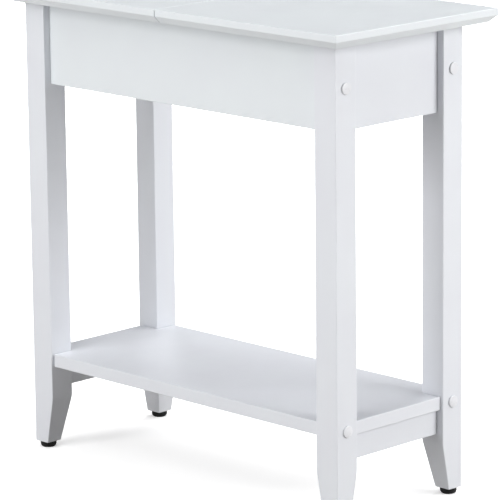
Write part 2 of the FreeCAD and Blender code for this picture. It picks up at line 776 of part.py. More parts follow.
def make_hinge_half(label, turn, across):
    """One half of a concealed hinge: a screwed plate and a box with three curved grooves.

    Its own frame has the underside of the top at z = 0 and the hinge axis at x = 0,
    z = top_thickness. The half reaches to +X.
    """
    body = new_body(label)
    plate = new_sketch(body, "plate_sketch", "x", SEAM_HALF)
    stadium(plate, "0")
    pad("plate", plate, "dims.hinge_plate_thickness")
    box = new_sketch(body, "box_sketch", "x", SEAM_HALF)
    hinge_box(box, "0")
    pad("box", box, "dims.hinge_plate_thickness + dims.hinge_box_depth")

    groove = new_sketch(body, "groove_sketch", "y", "-dims.link_pitch")
    inner, outer = "(dims.link_inner - dims.link_play)", "(dims.link_outer + dims.link_play)"
    end = "(-90 + dims.link_half_angle + dims.link_end_play)"
    sector(groove, inner, outer, "(-90 - dims.groove_overrun)", end)
    first = pocket("groove", groove, "dims.link_thickness + 2 * dims.link_play", 0)
    row_of(body, "Y_Axis", [first], "2 * dims.link_pitch", 3)

    centre = [("0", f"dims.top_thickness - {LINK_MIDDLE}")]
    recess = new_sketch(body, "pin_recess_sketch", "y")
    circles(recess, "dims.link_pin + 2 * dims.pin_clearance", centre)
    pin_room = "2 * (dims.link_pitch + dims.link_thickness / 2 + dims.pin_clearance)"
    pocket("pin_recess", recess, pin_room, 0)

    screws = [(f"{sign} * dims.hinge_screw_across", BOARD_MIDDLE) for sign in (-1, 1)]
    plate_thickness = "dims.hinge_plate_thickness"
    bore(body, "screw_holes", "x", SEAM_HALF, 1, "dims.hinge_screw_shank", plate_thickness, screws)
    sink = "(dims.hinge_screw_head - dims.hinge_screw_shank) / 2"
    face = value(SEAM_HALF)
    clear = value("dims.hinge_box_length / 2")
    shank = value("dims.hinge_screw_shank")

    def screw_rim(edge):
        middle, extent = spans(edge)
        at_face = extent.x < NEAR and abs(middle.x - face) < NEAR
        return at_face and abs(middle.y) > clear and extent.y < shank + NEAR

    dress("Chamfer", body, sink, screw_rim)
    put(body, "0", signed(across, "dims.hinge_across"), FRAME_TOP, turn_z(turn))


def make_hinge_link(label, across):
    """Three curved links on one cross pin; they run in the grooves of both halves."""
    body = new_body(label)
    pin = new_sketch(body, "pin_sketch", "y")
    circles(pin, "dims.link_pin", [("0", f"dims.top_thickness - {LINK_MIDDLE}")])
    pad("pin", pin, "2 * dims.link_pitch + dims.link_thickness", 0)
    link = new_sketch(body, "link_sketch", "y", "-dims.link_pitch")
    half = "dims.link_half_angle"
    sector(link, "dims.link_inner", "dims.link_outer", f"(-90 - {half})", f"(-90 + {half})")
    first = pad("link", link, "dims.link_thickness", 0)
    row_of(body, "Y_Axis", [first], "2 * dims.link_pitch", 3)
    put(body, "0", signed(across, "dims.hinge_across"), FRAME_TOP)


# ---------------------------------------------------------------- quadrant stay


def make_stay_arm():
    """The slotted arc under the lid, with its foot bent flat against the lid.

    Its own frame has the hinge axis at x = 0, z = top_thickness and y = 0 on the face
    of the arc that looks to the apron.
    """
    body = new_body("stay_arm")
    level = "dims.top_thickness"
    half_width = "(dims.stay_width / 2)"
    inner, outer = f"(dims.stay_radius - {half_width})", f"(dims.stay_radius + {half_width})"
    tail = "(-dims.stay_stud_angle - dims.stay_open_angle - dims.stay_slack)"
    head = "(-dims.stay_stud_angle + dims.stay_slack)"

    def polar(radius, angle):
        return (f"{radius} * cos({angle})", f"{level} + {radius} * sin({angle})")

    def on_lid(radius):
        return (f"sqrt({radius}^2 - {level}^2)", "0")

    arc = new_sketch(body, "arc_sketch", "y")
    axis = ("0", level)
    outline(
        arc,
        [
            on_lid(outer) + axis + (False,),
            on_lid(inner),
            polar(inner, tail) + axis + (True,),
            polar(outer, tail) + polar("dims.stay_radius", tail) + (False,),
        ],
    )
    half_slot = "(dims.stud_shoulder / 2 + dims.stud_play)"
    slot_inner, slot_outer = f"(dims.stay_radius - {half_slot})", f"(dims.stay_radius + {half_slot})"
    outline(
        arc,
        [
            polar(slot_outer, head) + axis + (False,),
            polar(slot_inner, head) + polar("dims.stay_radius", head) + (False,),
            polar(slot_inner, tail) + axis + (True,),
            polar(slot_outer, tail) + polar("dims.stay_radius", tail) + (False,),
        ],
    )
    pad("arc", arc, "dims.stay_thickness", -1)
    foot = new_sketch(body, "foot_sketch", "z")
    left, right = on_lid(inner)[0], on_lid(outer)[0]
    rectangle(foot, left, "-dims.stay_foot", right, "0")
    pad("foot", foot, "dims.stay_thickness", -1)
    middle = f"({left} + {right}) / 2"
    holes = [(middle, f"-{place}") for place in STAY_HOLES]
    bore(body, "screw_holes", "z", "0", -1, "dims.stay_hole", "dims.stay_thickness", holes)
    put(body, "0", STAY_INNER_FACE, FRAME_TOP)
    return middle


# ---------------------------------------------------------------- hardware


def countersunk_screw(label, head, shank, length):
    """A screw with its flat head's top at z = 0 and its shank down -Z."""
    body = new_body(label, listed=False)
    turned(
        body,
        [
            ("0", "0"),
            (f"{head} / 2", "0"),
            (f"{shank} / 2", f"-({head} - {shank}) / 2"),
            (f"{shank} / 2", f"-{length} + {shank}"),
            ("0", f"-{length}"),
        ],
    )
    return body


def pan_head_screw():
    """A screw with its head standing on z = 0 and its shank down -Z."""
    body = new_body("pan_head_screw", listed=False)
    radius, rise = "(dims.pan_head / 2)", "dims.pan_head_height"
    drop = f"(({radius}^2 - {rise}^2) / (2 * {rise}))"
    turned(
        body,
        [
            (radius, "0"),
            ("0", rise, "0", f"-{drop}", False),
            ("0", "-dims.pan_length"),
            ("dims.pan_shank / 2", "-dims.pan_length + dims.pan_shank"),
            ("dims.pan_shank / 2", "0"),
        ],
    )
    return body


def connector_bolt():
    """A flat-headed bolt with a hexagon socket; the head's top lies at z = 0."""
    body = new_body("connector_bolt", listed=False)
    turned(
        body,
        [
            ("0", "0"),
            ("dims.bolt_head / 2", "0"),
            ("dims.bolt_head / 2", "-dims.bolt_head_height"),
            ("dims.bolt_shank / 2", "-dims.bolt_head_height"),
            ("dims.bolt_shank / 2", "-dims.bolt_length + dims.bolt_tip"),
            ("dims.bolt_shank / 2 - dims.bolt_tip", "-dims.bolt_length"),
            ("0", "-dims.bolt_length"),
        ],
    )
    socket = new_sketch(body, "socket_sketch", "z")
    corner = "dims.bolt_socket / 2 / cos(30)"
    outline(socket, [(f"{corner} * cos({60 * i})", f"{corner} * sin({60 * i})") for i in range(6)])
    pocket("socket", socket, "dims.bolt_socket_depth", -1)
    return body


def barrel_nut():
    """A cross dowel nut along its own Z, with its tapped hole along X and a slotted end."""
    body = new_body("barrel_nut", listed=False)
    blank = new_sketch(body, "blank_sketch", "z")
    circles(blank, "dims.nut_diameter", [("0", "0")])
    pad("blank", blank, "dims.nut_length", 0)
    tapped = new_sketch(body, "tapped_sketch", "x")
    circles(tapped, "dims.bolt_shank", [("0", "0")])
    pocket("tapped_hole", tapped, None, 0)
    slot = new_sketch(body, "slot_sketch", "z", "dims.nut_length / 2")
    box_outline(slot, "2 * dims.nut_diameter", "dims.nut_slot", "-dims.nut_slot / 2")
    pocket("slot", slot, "dims.nut_slot", -1)
    return body


def bolt_cap():
    """A domed cap with a stem for the bolt's socket; its rim stands on z = 0."""
    body = new_body("bolt_cap", listed=False)
    radius, rise = "(dims.cap_diameter / 2)", "(dims.cap_rise - dims.cap_rim)"
    drop = f"(({radius}^2 - {rise}^2) / (2 * {rise}) - dims.cap_rim)"
    turned(
        body,
        [
            (radius, "0"),
            (radius, "dims.cap_rim"),
            ("0", "dims.cap_rise", "0", f"-{drop}", False),
            ("0", "-dims.cap_stem_length"),
            ("dims.cap_stem / 2", "-dims.cap_stem_length"),
            ("dims.cap_stem / 2", "0"),
        ],
    )
    return body


def dowel_pin(label, diameter, length):
    """A dowel centred on its own Z, with chamfered ends."""
    body = new_body(label, listed=False)
    radius, half, chamfer = f"{diameter} / 2", f"{length} / 2", "dims.dowel_chamfer"
    turned(
        body,
        [
            ("0", f"-{half}"),
            (f"{radius} - {chamfer}", f"-{half}"),
            (radius, f"-{half} + {chamfer}"),
            (radius, f"{half} - {chamfer}"),
            (f"{radius} - {chamfer}", half),
            ("0", half),
        ],
    )
    return body


def top_bracket():
    """A bent angle: one flange against an apron at x = 0, one under the top at z = 0."""
    body = new_body("top_bracket", listed=False)
    size, thick = "dims.bracket_size", "dims.bracket_thickness"
    profile = new_sketch(body, "profile", "y")
    outline(
        profile,
        [
            ("0", f"-{size}"),
            (thick, f"-{size}"),
            (thick, f"-{thick}"),
            (size, f"-{thick}"),
            (size, "0"),
            (thick, "0"),
            ("0", f"-{thick}", thick, f"-{thick}", False),
        ],
    )
    pad("strip", profile, "dims.bracket_width", 0)
    hole = "dims.bracket_hole"
    bore(body, "apron_hole", "x", thick, -1, hole, thick, [("0", "-dims.bracket_reach")])
    bore(body, "top_hole", "z", f"-{thick}", 1, hole, thick, [("dims.bracket_reach", "0")])
    return body


def stay_stud():
    """The shoulder screw of the stay: thread down -Z from z = 0, shoulder and head above."""
    body = new_body("stay_stud")
    shoulder = "(dims.washer_thickness + dims.stay_thickness + 2 * dims.stay_side_play)"
    turned(
        body,
        [
            ("dims.stud_thread / 2", "0"),
            ("dims.stud_shoulder / 2", "0"),
            ("dims.stud_shoulder / 2", shoulder),
            ("dims.stud_head / 2", shoulder),
            ("dims.stud_head / 2", f"{shoulder} + dims.stud_head_height"),
            ("0", f"{shoulder} + dims.stud_head_height"),
            ("0", "-dims.stud_thread_length"),
            ("dims.stud_thread / 2", "-dims.stud_thread_length"),
        ],
    )
    put(body, STUD_X, RAIL_INNER_Y, f"dims.table_height - {STUD_DROP}", aim(0, 1, 0))


def stay_washer():
    """The plain washer between the apron and the stay."""
    body = new_body("stay_washer")
    blank = new_sketch(body, "blank_sketch", "z")
    circles(blank, "dims.washer_diameter", [("0", "0")])
    circles(blank, "dims.stud_shoulder", [("0", "0")])
    pad("ring", blank, "dims.washer_thickness")
    put(body, STUD_X, RAIL_INNER_Y, f"dims.table_height - {STUD_DROP}", aim(0, 1, 0))


def make_glide(corner):
    """A round glide, wide against the leg, rounded in towards the floor."""
    sign_x, sign_y, _ = CORNERS[corner]
    body = new_body(f"glide_{corner}")
    rim = "(dims.glide_height - dims.glide_band)"
    radius, foot = "(dims.glide_diameter / 2)", "(dims.glide_foot / 2)"
    inset = f"({radius} - {foot})"
    lift = f"(({rim}^2 + {inset}^2) / (2 * {inset}))"
    turned(
        body,
        [
            ("dims.glide_recess / 2", "0"),
            (foot, "0"),
            (radius, rim, f"{radius} - {lift}", rim, False),
            (radius, "dims.glide_height"),
            ("dims.nail_shank / 2", "dims.glide_height"),
            ("dims.nail_shank / 2", "dims.glide_recess_depth"),
            ("dims.glide_recess / 2", "dims.glide_recess_depth"),
        ],
    )
    put(body, signed(sign_x, FOOT_CENTRE_X), signed(sign_y, FOOT_CENTRE_Y), "0")


def glide_nail():
    """A flat-headed nail; the head's underside lies at z = 0 and the point down -Z."""
    body = new_body("glide_nail", listed=False)
    turned(
        body,
        [
            ("0", "dims.nail_head_height"),
            ("0", "-dims.nail_length"),
            ("dims.nail_shank / 2", "-dims.nail_length + dims.nail_shank"),
            ("dims.nail_shank / 2", "0"),
            ("dims.nail_head / 2", "0"),
            ("dims.nail_head / 2", "dims.nail_head_height"),
        ],
    )
    return body


def bumper_button():
    """A soft button let in flush with the apron's edge; its face lies at z = 0."""
    body = new_body("bumper_button", listed=False)
    blank = new_sketch(body, "blank_sketch", "z")
    circles(blank, "dims.bumper", [("0", "0")])
    pad("button", blank, "dims.bumper_depth", -1)
    return body


# ---------------------------------------------------------------- the assembly

SIGNS = (-1, 1)
UPRIGHT = FreeCAD.Rotation()
ALONG_X = FreeCAD.Rotation(Vector(0, 1, 0), 90)
ALONG_Y = FreeCAD.Rotation(Vector(1, 0, 0), 90)

for corner_name in CORNERS:
    make_leg(corner_name)
    make_glide(corner_name)
make_long_apron("front_apron", -1)
make_long_apron("back_apron", 1)
make_end_apron("left_end_apron", -1)
make_end_apron("right_end_apron", 1)
make_stretcher("left_stretcher", -1)
make_stretcher("right_stretcher", 1)
make_shelf()
make_compartment_bottom()
make_seam_rail()

stay_middle = make_stay_arm()
stay_stud()
stay_washer()

# Screw places in the table's frame; the fixed top's own frame is turned round.
bracket_x, bracket_y = signed(-1, RAIL_INNER_X), "dims.bracket_across"
bracket_places = []
bracket_screws_up = []
for side in SIGNS:
    face = signed(side, RAIL_INNER_Y)
    bracket_places.append(("-dims.bracket_along", face, FRAME_TOP, turn_z(-90 * side)))
    bracket_places.append((bracket_x, signed(side, bracket_y), FRAME_TOP, UPRIGHT))
    inwards = f"({face} - {side} * dims.bracket_reach)"
    bracket_screws_up.append(("-dims.bracket_along", inwards))
    bracket_screws_up.append((f"({bracket_x} + dims.bracket_reach)", signed(side, bracket_y)))
rail_screws_up = [("-dims.rail_screw_along", f"{row} * dims.rail_screw_across") for row in (-1, 0, 1)]
rail_screw_rise = "dims.wood_screw_length - dims.seam_rail_thickness"
fixed_holes = [(f"-({x})", f"-({y})", "dims.pan_shank", PAN_SCREW_DEPTH) for x, y in bracket_screws_up]
fixed_holes += [(f"-({x})", f"-({y})", "dims.wood_screw_shank", rail_screw_rise) for x, y in rail_screws_up]
make_top("fixed_top", 180, fixed_holes)

stay_screws_up = [(stay_middle, f"{STAY_INNER_FACE} - {place}") for place in STAY_HOLES]
stay_screw_depth = "dims.pan_length - dims.stay_thickness"
make_top("lid", 0, [(x, y, "dims.pan_shank", stay_screw_depth) for x, y in stay_screws_up])

for side_name, side in (("front", -1), ("back", 1)):
    make_hinge_half(f"hinge_fixed_{side_name}", 180, side)
    make_hinge_half(f"hinge_lid_{side_name}", 0, side)
    make_hinge_link(f"hinge_link_{side_name}", side)

bolt_places = [
    (signed(x, LEG_OUTER_X), signed(y, LEG_CENTRE_Y), level, aim(-x, 0, 0))
    for x in SIGNS
    for y in SIGNS
    for level in (APRON_MIDDLE, SHELF_MIDDLE)
]
group("frame_bolts", connector_bolt(), bolt_places)
group("bolt_caps", bolt_cap(), bolt_places)
nut_places = []
for x in SIGNS:
    for y in SIGNS:
        along = f"{x} * ({LEG_INNER_X} - dims.nut_inset)"
        nut_places.append((along, signed(y, LEG_CENTRE_Y), APRON_MIDDLE, aim(0, y, 0)))
        nut_places.append((along, signed(y, LEG_CENTRE_Y), SHELF_MIDDLE, aim(0, 0, 1)))
group("barrel_nuts", barrel_nut(), nut_places)

dowel_blank = dowel_pin("dowel_blank", "dims.dowel", "dims.dowel_length")
small_dowel_blank = dowel_pin("small_dowel_blank", "dims.small_dowel", "dims.small_dowel_length")
rail_dowel_blank = dowel_pin("rail_dowel_blank", "dims.dowel", "dims.rail_dowel_length")
joint_signs = [(x, y, z) for x in SIGNS for y in SIGNS for z in SIGNS]
group("apron_dowels", dowel_blank, [
    (
        signed(x, LEG_INNER_X),
        signed(y, LEG_CENTRE_Y),
        f"{APRON_MIDDLE} + {z} * dims.dowel_spread",
        ALONG_X,
    )
    for x, y, z in joint_signs
])
group("end_frame_dowels", dowel_blank, [
    (
        signed(x, LEG_CENTRE_X),
        signed(y, LEG_INNER_Y),
        f"{APRON_MIDDLE} + {z} * dims.end_dowel_spread",
        ALONG_Y,
    )
    for x, y, z in joint_signs
])
group("stretcher_dowels", small_dowel_blank, [
    (
        signed(x, LEG_CENTRE_X),
        signed(y, LEG_INNER_Y),
        f"{STRETCHER_MIDDLE} + {z} * dims.small_dowel_spread",
        ALONG_Y,
    )
    for x, y, z in joint_signs
])
rail_dowel_y = f"({RAIL_INNER_Y} + dims.rail_dowel_sink - dims.rail_dowel_length / 2)"
group("rail_dowels", rail_dowel_blank, [
    (
        f"{SEAM_RAIL_X} + {x} * dims.rail_dowel_spread",
        signed(y, rail_dowel_y),
        f"{FRAME_TOP} - dims.seam_rail_thickness / 2",
        ALONG_Y,
    )
    for x in SIGNS
    for y in SIGNS
])

group("top_brackets", top_bracket(), bracket_places)
pan_screw = pan_head_screw()
under_bracket = f"{FRAME_TOP} - dims.bracket_thickness"
bracket_screw_places = [(x, y, under_bracket, aim(0, 0, 1)) for x, y in bracket_screws_up]
drop = f"{FRAME_TOP} - dims.bracket_reach"
face_y = f"({RAIL_INNER_Y} - dims.bracket_thickness)"
face_x = f"({RAIL_INNER_X} - dims.bracket_thickness)"
for side in SIGNS:
    bracket_screw_places.append(("-dims.bracket_along", signed(side, face_y), drop, aim(0, side, 0)))
    bracket_screw_places.append((signed(-1, face_x), signed(side, bracket_y), drop, aim(-1, 0, 0)))
group("bracket_screws", pan_screw, bracket_screw_places)
group("stay_screws", pan_screw, [
    (x, y, f"{FRAME_TOP} - dims.stay_thickness", aim(0, 0, 1)) for x, y in stay_screws_up
])

wood_screw = countersunk_screw(
    "wood_screw", "dims.wood_screw_head", "dims.wood_screw_shank", "dims.wood_screw_length"
)
group("rail_screws", wood_screw, [
    (x, y, f"{FRAME_TOP} - dims.seam_rail_thickness", aim(0, 0, 1)) for x, y in rail_screws_up
])
hinge_screw = countersunk_screw(
    "hinge_screw", "dims.hinge_screw_head", "dims.hinge_screw_shank", "dims.hinge_screw_length"
)
for name, side in (("hinge_screws_fixed", -1), ("hinge_screws_lid", 1)):
    group(name, hinge_screw, [
        (
            signed(side, SEAM_HALF),
            f"{hinge} * dims.hinge_across + {end} * dims.hinge_screw_across",
            f"{FRAME_TOP} + {BOARD_MIDDLE}",
            aim(side, 0, 0),
        )
        for hinge in SIGNS
        for end in SIGNS
    ])

bumper_places = [("dims.bumper_along", signed(side, LEG_CENTRE_Y), FRAME_TOP, UPRIGHT) for side in SIGNS]
bumper_places += [(LEG_CENTRE_X, f"{side} * dims.bumper_across", FRAME_TOP, UPRIGHT) for side in SIGNS]
group("lid_bumpers", bumper_button(), bumper_places)
group("glide_nails", glide_nail(), [
    (signed(x, FOOT_CENTRE_X), signed(y, FOOT_CENTRE_Y), "dims.glide_recess_depth", aim(0, 0, 1))
    for x in SIGNS
    for y in SIGNS
])

# ---------------------------------------------------------------- checks and export

doc.recompute()
CUTTING = ("PartDesign::Pocket", "PartDesign::Chamfer", "PartDesign::Fillet")
for item in doc.Objects:
    if {"Invalid", "Error"} & set(item.State):
        raise RuntimeError(f"{item.Name} failed: {item.State}")
    if item.TypeId in CUTTING and item.Shape.Volume > item.BaseFeature.Shape.Volume - 0.01:
        raise RuntimeError(f"{item.Name} cuts nothing")
    if item.TypeId == "Sketcher::SketchObject" and item.solve() != 0:
        raise RuntimeError(f"{item.Name} does not solve")

os.makedirs("parts", exist_ok=True)
for node in nodes:
    shape = node.Shape
    if shape.isNull() or not shape.isValid() or not shape.Solids:
        raise RuntimeError(f"{node.Label} has no valid solid")
    shape.exportStep(os.path.join("parts", f"{node.Label}.step"))
print(f"{len(nodes)} nodes, {sum(len(node.Shape.Solids) for node in nodes)} solids")
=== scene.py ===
"""White lift-top end table: the painted boards, caps, glides and finishes round its CAD frame.

The file is laid out as an add-on. Each operator makes one piece or one group of like
pieces in metres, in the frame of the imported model: +X towards the lid, -Y to the front,
+Z up, the floor at z = 0.
"""

import math

import bpy
import numpy as np
from bpy.props import FloatProperty, FloatVectorProperty, PointerProperty
from bpy.types import Operator, Panel, PropertyGroup
from mathutils import Matrix, Vector


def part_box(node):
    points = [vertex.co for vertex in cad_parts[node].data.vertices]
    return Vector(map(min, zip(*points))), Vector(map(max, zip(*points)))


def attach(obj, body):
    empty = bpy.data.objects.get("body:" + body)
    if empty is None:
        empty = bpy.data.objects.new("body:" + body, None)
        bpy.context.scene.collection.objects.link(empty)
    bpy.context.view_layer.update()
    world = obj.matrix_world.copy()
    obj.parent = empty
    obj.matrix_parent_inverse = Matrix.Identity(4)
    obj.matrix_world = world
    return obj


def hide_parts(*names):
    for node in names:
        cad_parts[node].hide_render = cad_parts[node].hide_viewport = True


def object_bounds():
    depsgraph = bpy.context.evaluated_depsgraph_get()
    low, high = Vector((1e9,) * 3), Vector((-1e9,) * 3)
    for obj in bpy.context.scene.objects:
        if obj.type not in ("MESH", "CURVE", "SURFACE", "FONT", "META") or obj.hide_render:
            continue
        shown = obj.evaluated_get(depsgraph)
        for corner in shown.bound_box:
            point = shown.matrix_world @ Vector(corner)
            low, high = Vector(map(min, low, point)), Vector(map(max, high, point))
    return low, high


bl_info = {
    "name": "Lift-Top End Table",
    "version": (1, 0, 0),
    "blender": (4, 5, 0),
    "location": "3D View > Sidebar > End Table",
    "description": "Builds the painted pieces, finishes and studio of a lift-top end table",
    "category": "Object",
}

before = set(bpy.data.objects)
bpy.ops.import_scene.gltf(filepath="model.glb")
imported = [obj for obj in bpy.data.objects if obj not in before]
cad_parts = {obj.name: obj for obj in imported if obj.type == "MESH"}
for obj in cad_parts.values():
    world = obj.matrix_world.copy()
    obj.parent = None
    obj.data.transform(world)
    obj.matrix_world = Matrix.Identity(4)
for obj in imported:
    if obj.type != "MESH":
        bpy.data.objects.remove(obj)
CAD_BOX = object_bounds()

MM = 0.001
# The signs of X and Y at the four corners of the table, anticlockwise
CORNERS = {
    "front_left": (-1, -1),
    "front_right": (1, -1),
    "back_right": (1, 1),
    "back_left": (-1, 1),
}
# How far a cutter stands out of the face that it cuts, how far a notch clears the leg in
# it, and how far two arcs that would meet stay apart
SPARE = 1.0 * MM
CLEARANCE = 0.5 * MM
HAIR = 0.01 * MM
# A rounded corner that dwindles towards the end of a board keeps this share of its radius
LEAST_CORNER = 0.02
# The last ring of a dome stands at this angle from its axis, in radians
CROWN = 0.03
# Faces that meet at a larger angle than this, in degrees, keep a sharp edge between them
SHARP_ANGLE = 40

# The sockets of a colour Mix node: its factor, its two colours and its result
FACTOR, FIRST, SECOND, MIXED = 0, 6, 7, 2
# The detail of a cloud of noise, and the two values between which nearly all of it lies
CLOUD_DETAIL = 2.5
CLOUD_LOW, CLOUD_HIGH = 0.3, 0.7

# Half the side of the floor. Between the two distances from the table, its glow towards
# the camera grows from the first strength to the second, that of the surroundings.
FLOOR_REACH = 40.0
GLOW_START, GLOW_END = 0.7, 2.5
GLOW, FAR_GLOW = 0.42, 1.0
# The softboxes look at the middle of the table from this far, each from an azimuth and an
# elevation in degrees. The light of a lamp spreads over so many degrees.
SOFTBOX_REACH, SOFTBOX_SIZE, SOFTBOX_SPREAD = 3.0, 1.8, 180
SOFTBOXES = {
    "front": (-10, 18),
    "high_front": (10, 50),
    "right": (110, 18),
    "back": (160, 50),
    "overhead": (45, 87),
}
FLOOR_LIGHT_PLACE = (-3.2, 3.2, 3.4)
FLOOR_LIGHT_SIZE, FLOOR_LIGHT_SPREAD = 5.5, 60
# The camera's sensor in millimetres, and how far it sees in metres
SENSOR_WIDTH, VIEW_REACH = 36.0, 200.0


def linear(code):
    """The linear colour of an sRGB hex value.

    A part s becomes s / 12.92 up to 0.04045, and ((s + 0.055) / 1.055)^2.4 above it.
    """
    srgb = np.array([int(code[i : i + 2], 16) for i in (0, 2, 4)]) / 255
    low, high = srgb / 12.92, ((srgb + 0.055) / 1.055) ** 2.4
    return tuple(float(x) for x in np.where(srgb <= 0.04045, low, high))


def middle(node):
    """The middle of a CAD node's box."""
    low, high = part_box(node)
    return (low + high) / 2


# ---------------------------------------------------------------- sizes and colours


def length(name, description, millimetres):
    """A length property given in millimetres."""
    return FloatProperty(
        name=name, description=description, default=millimetres * MM, min=0, unit="LENGTH"
    )


def colour(name, description, code):
    """A colour property given as an sRGB hex value."""
    return FloatVectorProperty(
        name=name, description=description, default=linear(code), subtype="COLOR", min=0, max=1
    )


def power(name, description, watts):
    """A power property given in watts."""
    return FloatProperty(name=name, description=description, default=watts, min=0, unit="POWER")


class TableSizes(PropertyGroup):
    """Sizes of the details that the boxes of the CAD nodes do not give."""

    board_ease: length("Board edges", "Radius of the sanded edges of the rails and the shelf", 1.0)
    leg_ease: length("Leg edges", "Radius of the long edges of the legs", 1.2)
    foot_ease: length("Foot edge", "Radius round the bottom end of a leg", 0.6)
    corner_ease: length("Top corners", "Radius of the upright corners of the top", 0.8)
    seam_ease: length("Seam edges", "Radius of the two edges that meet at the seam", 0.7)
    edge_band: length("Edge band", "Height of the upright edge of the top above its bevel", 8.5)
    top_round: length("Upper edge", "Radius of the upper edge of the top", 0.8)
    bevel_round: length("Bevel edges", "Radius of the two edges of the underside bevel", 0.8)
    foot_width: length("Foot width", "Width of a leg at its bottom end", 23.5)
    taper_start: length("Taper start", "Height at which the taper of a leg begins", 72.5)
    taper_radius: length("Taper radius", "Radius of the curve that starts the taper", 45)
    groove_rise: length("Groove height", "From an apron's lower edge to its groove", 8)
    groove_width: length("Groove width", "Width of the groove for the bottom panel", 5.1)
    groove_depth: length("Groove depth", "Depth of the groove for the bottom panel", 6)
    groove_ease: length("Groove edges", "Radius of the edges of that groove", 0.2)
    panel_ease: length("Panel edges", "Radius of the edges of the bottom panel", 0.3)
    nut_hole: length("Nut hole", "Diameter of the hole for a barrel nut", 10)
    nut_inset: length("Nut inset", "From the end of a board to its barrel nut", 30)
    nut_depth: length("Nut hole depth", "Depth of a barrel nut's hole in an apron", 14)
    shelf_nut_depth: length("Shelf nut hole depth", "The same in the shelf", 15)
    bumper_hole: length("Bumper hole", "Diameter of the hole for a lid bumper", 8)
    bumper_depth: length("Bumper depth", "Depth of the hole for a lid bumper", 6)
    bumper_foot: length("Bumper foot", "Radius of a bumper's edge in its hole", 0.3)
    bumper_round: length("Bumper edge", "Radius of a bumper's edge under the lid", 0.8)
    bumper_along: length("Bumpers along", "From the middle to a bumper on a long apron", 180)
    bumper_across: length("Bumpers across", "From the middle to a bumper on the end apron", 45)
    hinge_across: length("Hinge place", "From the middle of the seam to a hinge", 90)
    hinge_plate: length("Hinge plate", "Length of a hinge plate", 56)
    hinge_height: length("Hinge height", "Height of a hinge plate", 13)
    hinge_sheet: length("Hinge sheet", "Thickness of a hinge plate", 2)
    hinge_case: length("Hinge case", "Length of the case behind a hinge plate", 34)
    hinge_depth: length("Hinge depth", "Depth of the case behind a hinge plate", 12.5)
    hinge_ease: length("Hinge case edges", "Radius of the edges of that case", 0.05)
    cap_width: length("Cap width", "Diameter of a bolt cap", 15)
    cap_rim: length("Cap rim", "Height of the upright rim of a bolt cap", 2.0)
    cap_round: length("Cap edge", "Radius of the edge between the rim and the dome", 0.8)
    cap_foot: length("Cap foot", "Radius of a cap's edge at the leg", 0.7)
    cap_rise: length("Cap rise", "Height of a bolt cap", 3)
    glide_width: length("Glide width", "Diameter of a glide at the leg", 21)
    glide_foot: length("Glide foot", "Diameter of a glide at the floor", 16)
    glide_height: length("Glide height", "Height of a glide", 8)
    glide_band: length("Glide band", "Height of the upright band of a glide", 3.5)
    glide_recess: length("Glide recess", "Diameter of the recess of the nail head", 8.5)
    glide_recess_depth: length("Glide recess depth", "Depth of the nail head's recess", 3)
    glide_recess_ease: length("Glide recess edge", "Radius of the edge deep in the recess", 0.2)
    glide_ease: length("Glide edges", "Radius of the two edges at the floor", 0.4)
    glide_rim: length("Glide rim", "Radius of a glide's edge under the leg", 0.5)


class TableColours(PropertyGroup):
    """Colours of the finishes."""

    paint: colour("Paint", "Satin lacquer of the top and the long aprons", "DFE4E7")
    paint_shade: colour("Paint, thin", "The same lacquer where it lies a little thinner", "DDE1E5")
    frame_paint: colour("Frame paint", "The slightly warmer lacquer of the end frames", "DFE2E7")
    frame_paint_shade: colour("Frame paint, thin", "The same where it lies thinner", "DDDFE5")
    cap: colour("Cap plastic", "Bolt caps", "E1E2E6")
    glide: colour("Glide plastic", "Glides", "0A0A0B")
    zinc: colour("Zinc plate", "Screws, brackets, bolts and the stay", "C6CACD")
    zinc_dark: colour("Zinc plate, dull", "The darker crystals of the zinc", "A6ABB0")
    casting: colour("Zinc casting", "Hinge bodies and barrel nuts", "A9AAA9")
    beech: colour("Beech", "Dowels", "D9BB8E")
    beech_fleck: colour("Beech fleck", "Darker flecks of the dowels", "B58F60")
    bumper: colour("Bumper", "Soft buttons under the lid", "CFD0CC")
    floor: colour("Floor", "The studio floor", "FAFAFA")
    floor_bounce: colour("Floor bounce", "The floor as it lights the table from below", "AFACA8")


class TableStudio(PropertyGroup):
    """The camera and the lights."""

    camera_place: FloatVectorProperty(
        name="Camera place",
        description="Where the camera stands",
        default=(2.97777, -2.93648, 1.23382),
        subtype="XYZ",
        unit="LENGTH",
    )
    azimuth: FloatProperty(
        name="Azimuth",
        description="Direction of the camera round the table",
        default=math.radians(45.24),
        subtype="ANGLE",
    )
    elevation: FloatProperty(
        name="Elevation",
        description="Angle at which the camera looks down",
        default=math.radians(12.76),
        subtype="ANGLE",
    )
    roll: FloatProperty(
        name="Roll",
        description="Turn of the camera about its line of sight",
        default=math.radians(-0.63),
        subtype="ANGLE",
    )
    lens: FloatProperty(
        name="Lens",
        description="Focal length on a 36 mm sensor, in millimetres",
        default=244.41,
        subtype="DISTANCE_CAMERA",
    )
    sky: FloatProperty(
        name="Sky", description="Strength of the white surroundings", default=0.05, min=0
    )
    front: power("Front light", "Low softbox at the front", 56)
    high_front: power("High front light", "High softbox at the front", 27)
    right: power("Right light", "Low softbox at the right, a little behind", 67)
    back: power("Back light", "High softbox behind, a little to the right", 37)
    overhead: power("Overhead light", "Softbox above", 21)
    floor: power("Floor light", "Lamp over the floor behind the table", 210)


# ---------------------------------------------------------------- outlines and surfaces


def unit(vectors):
    """Vectors scaled to length 1."""
    return vectors / np.linalg.norm(vectors, axis=-1, keepdims=True)


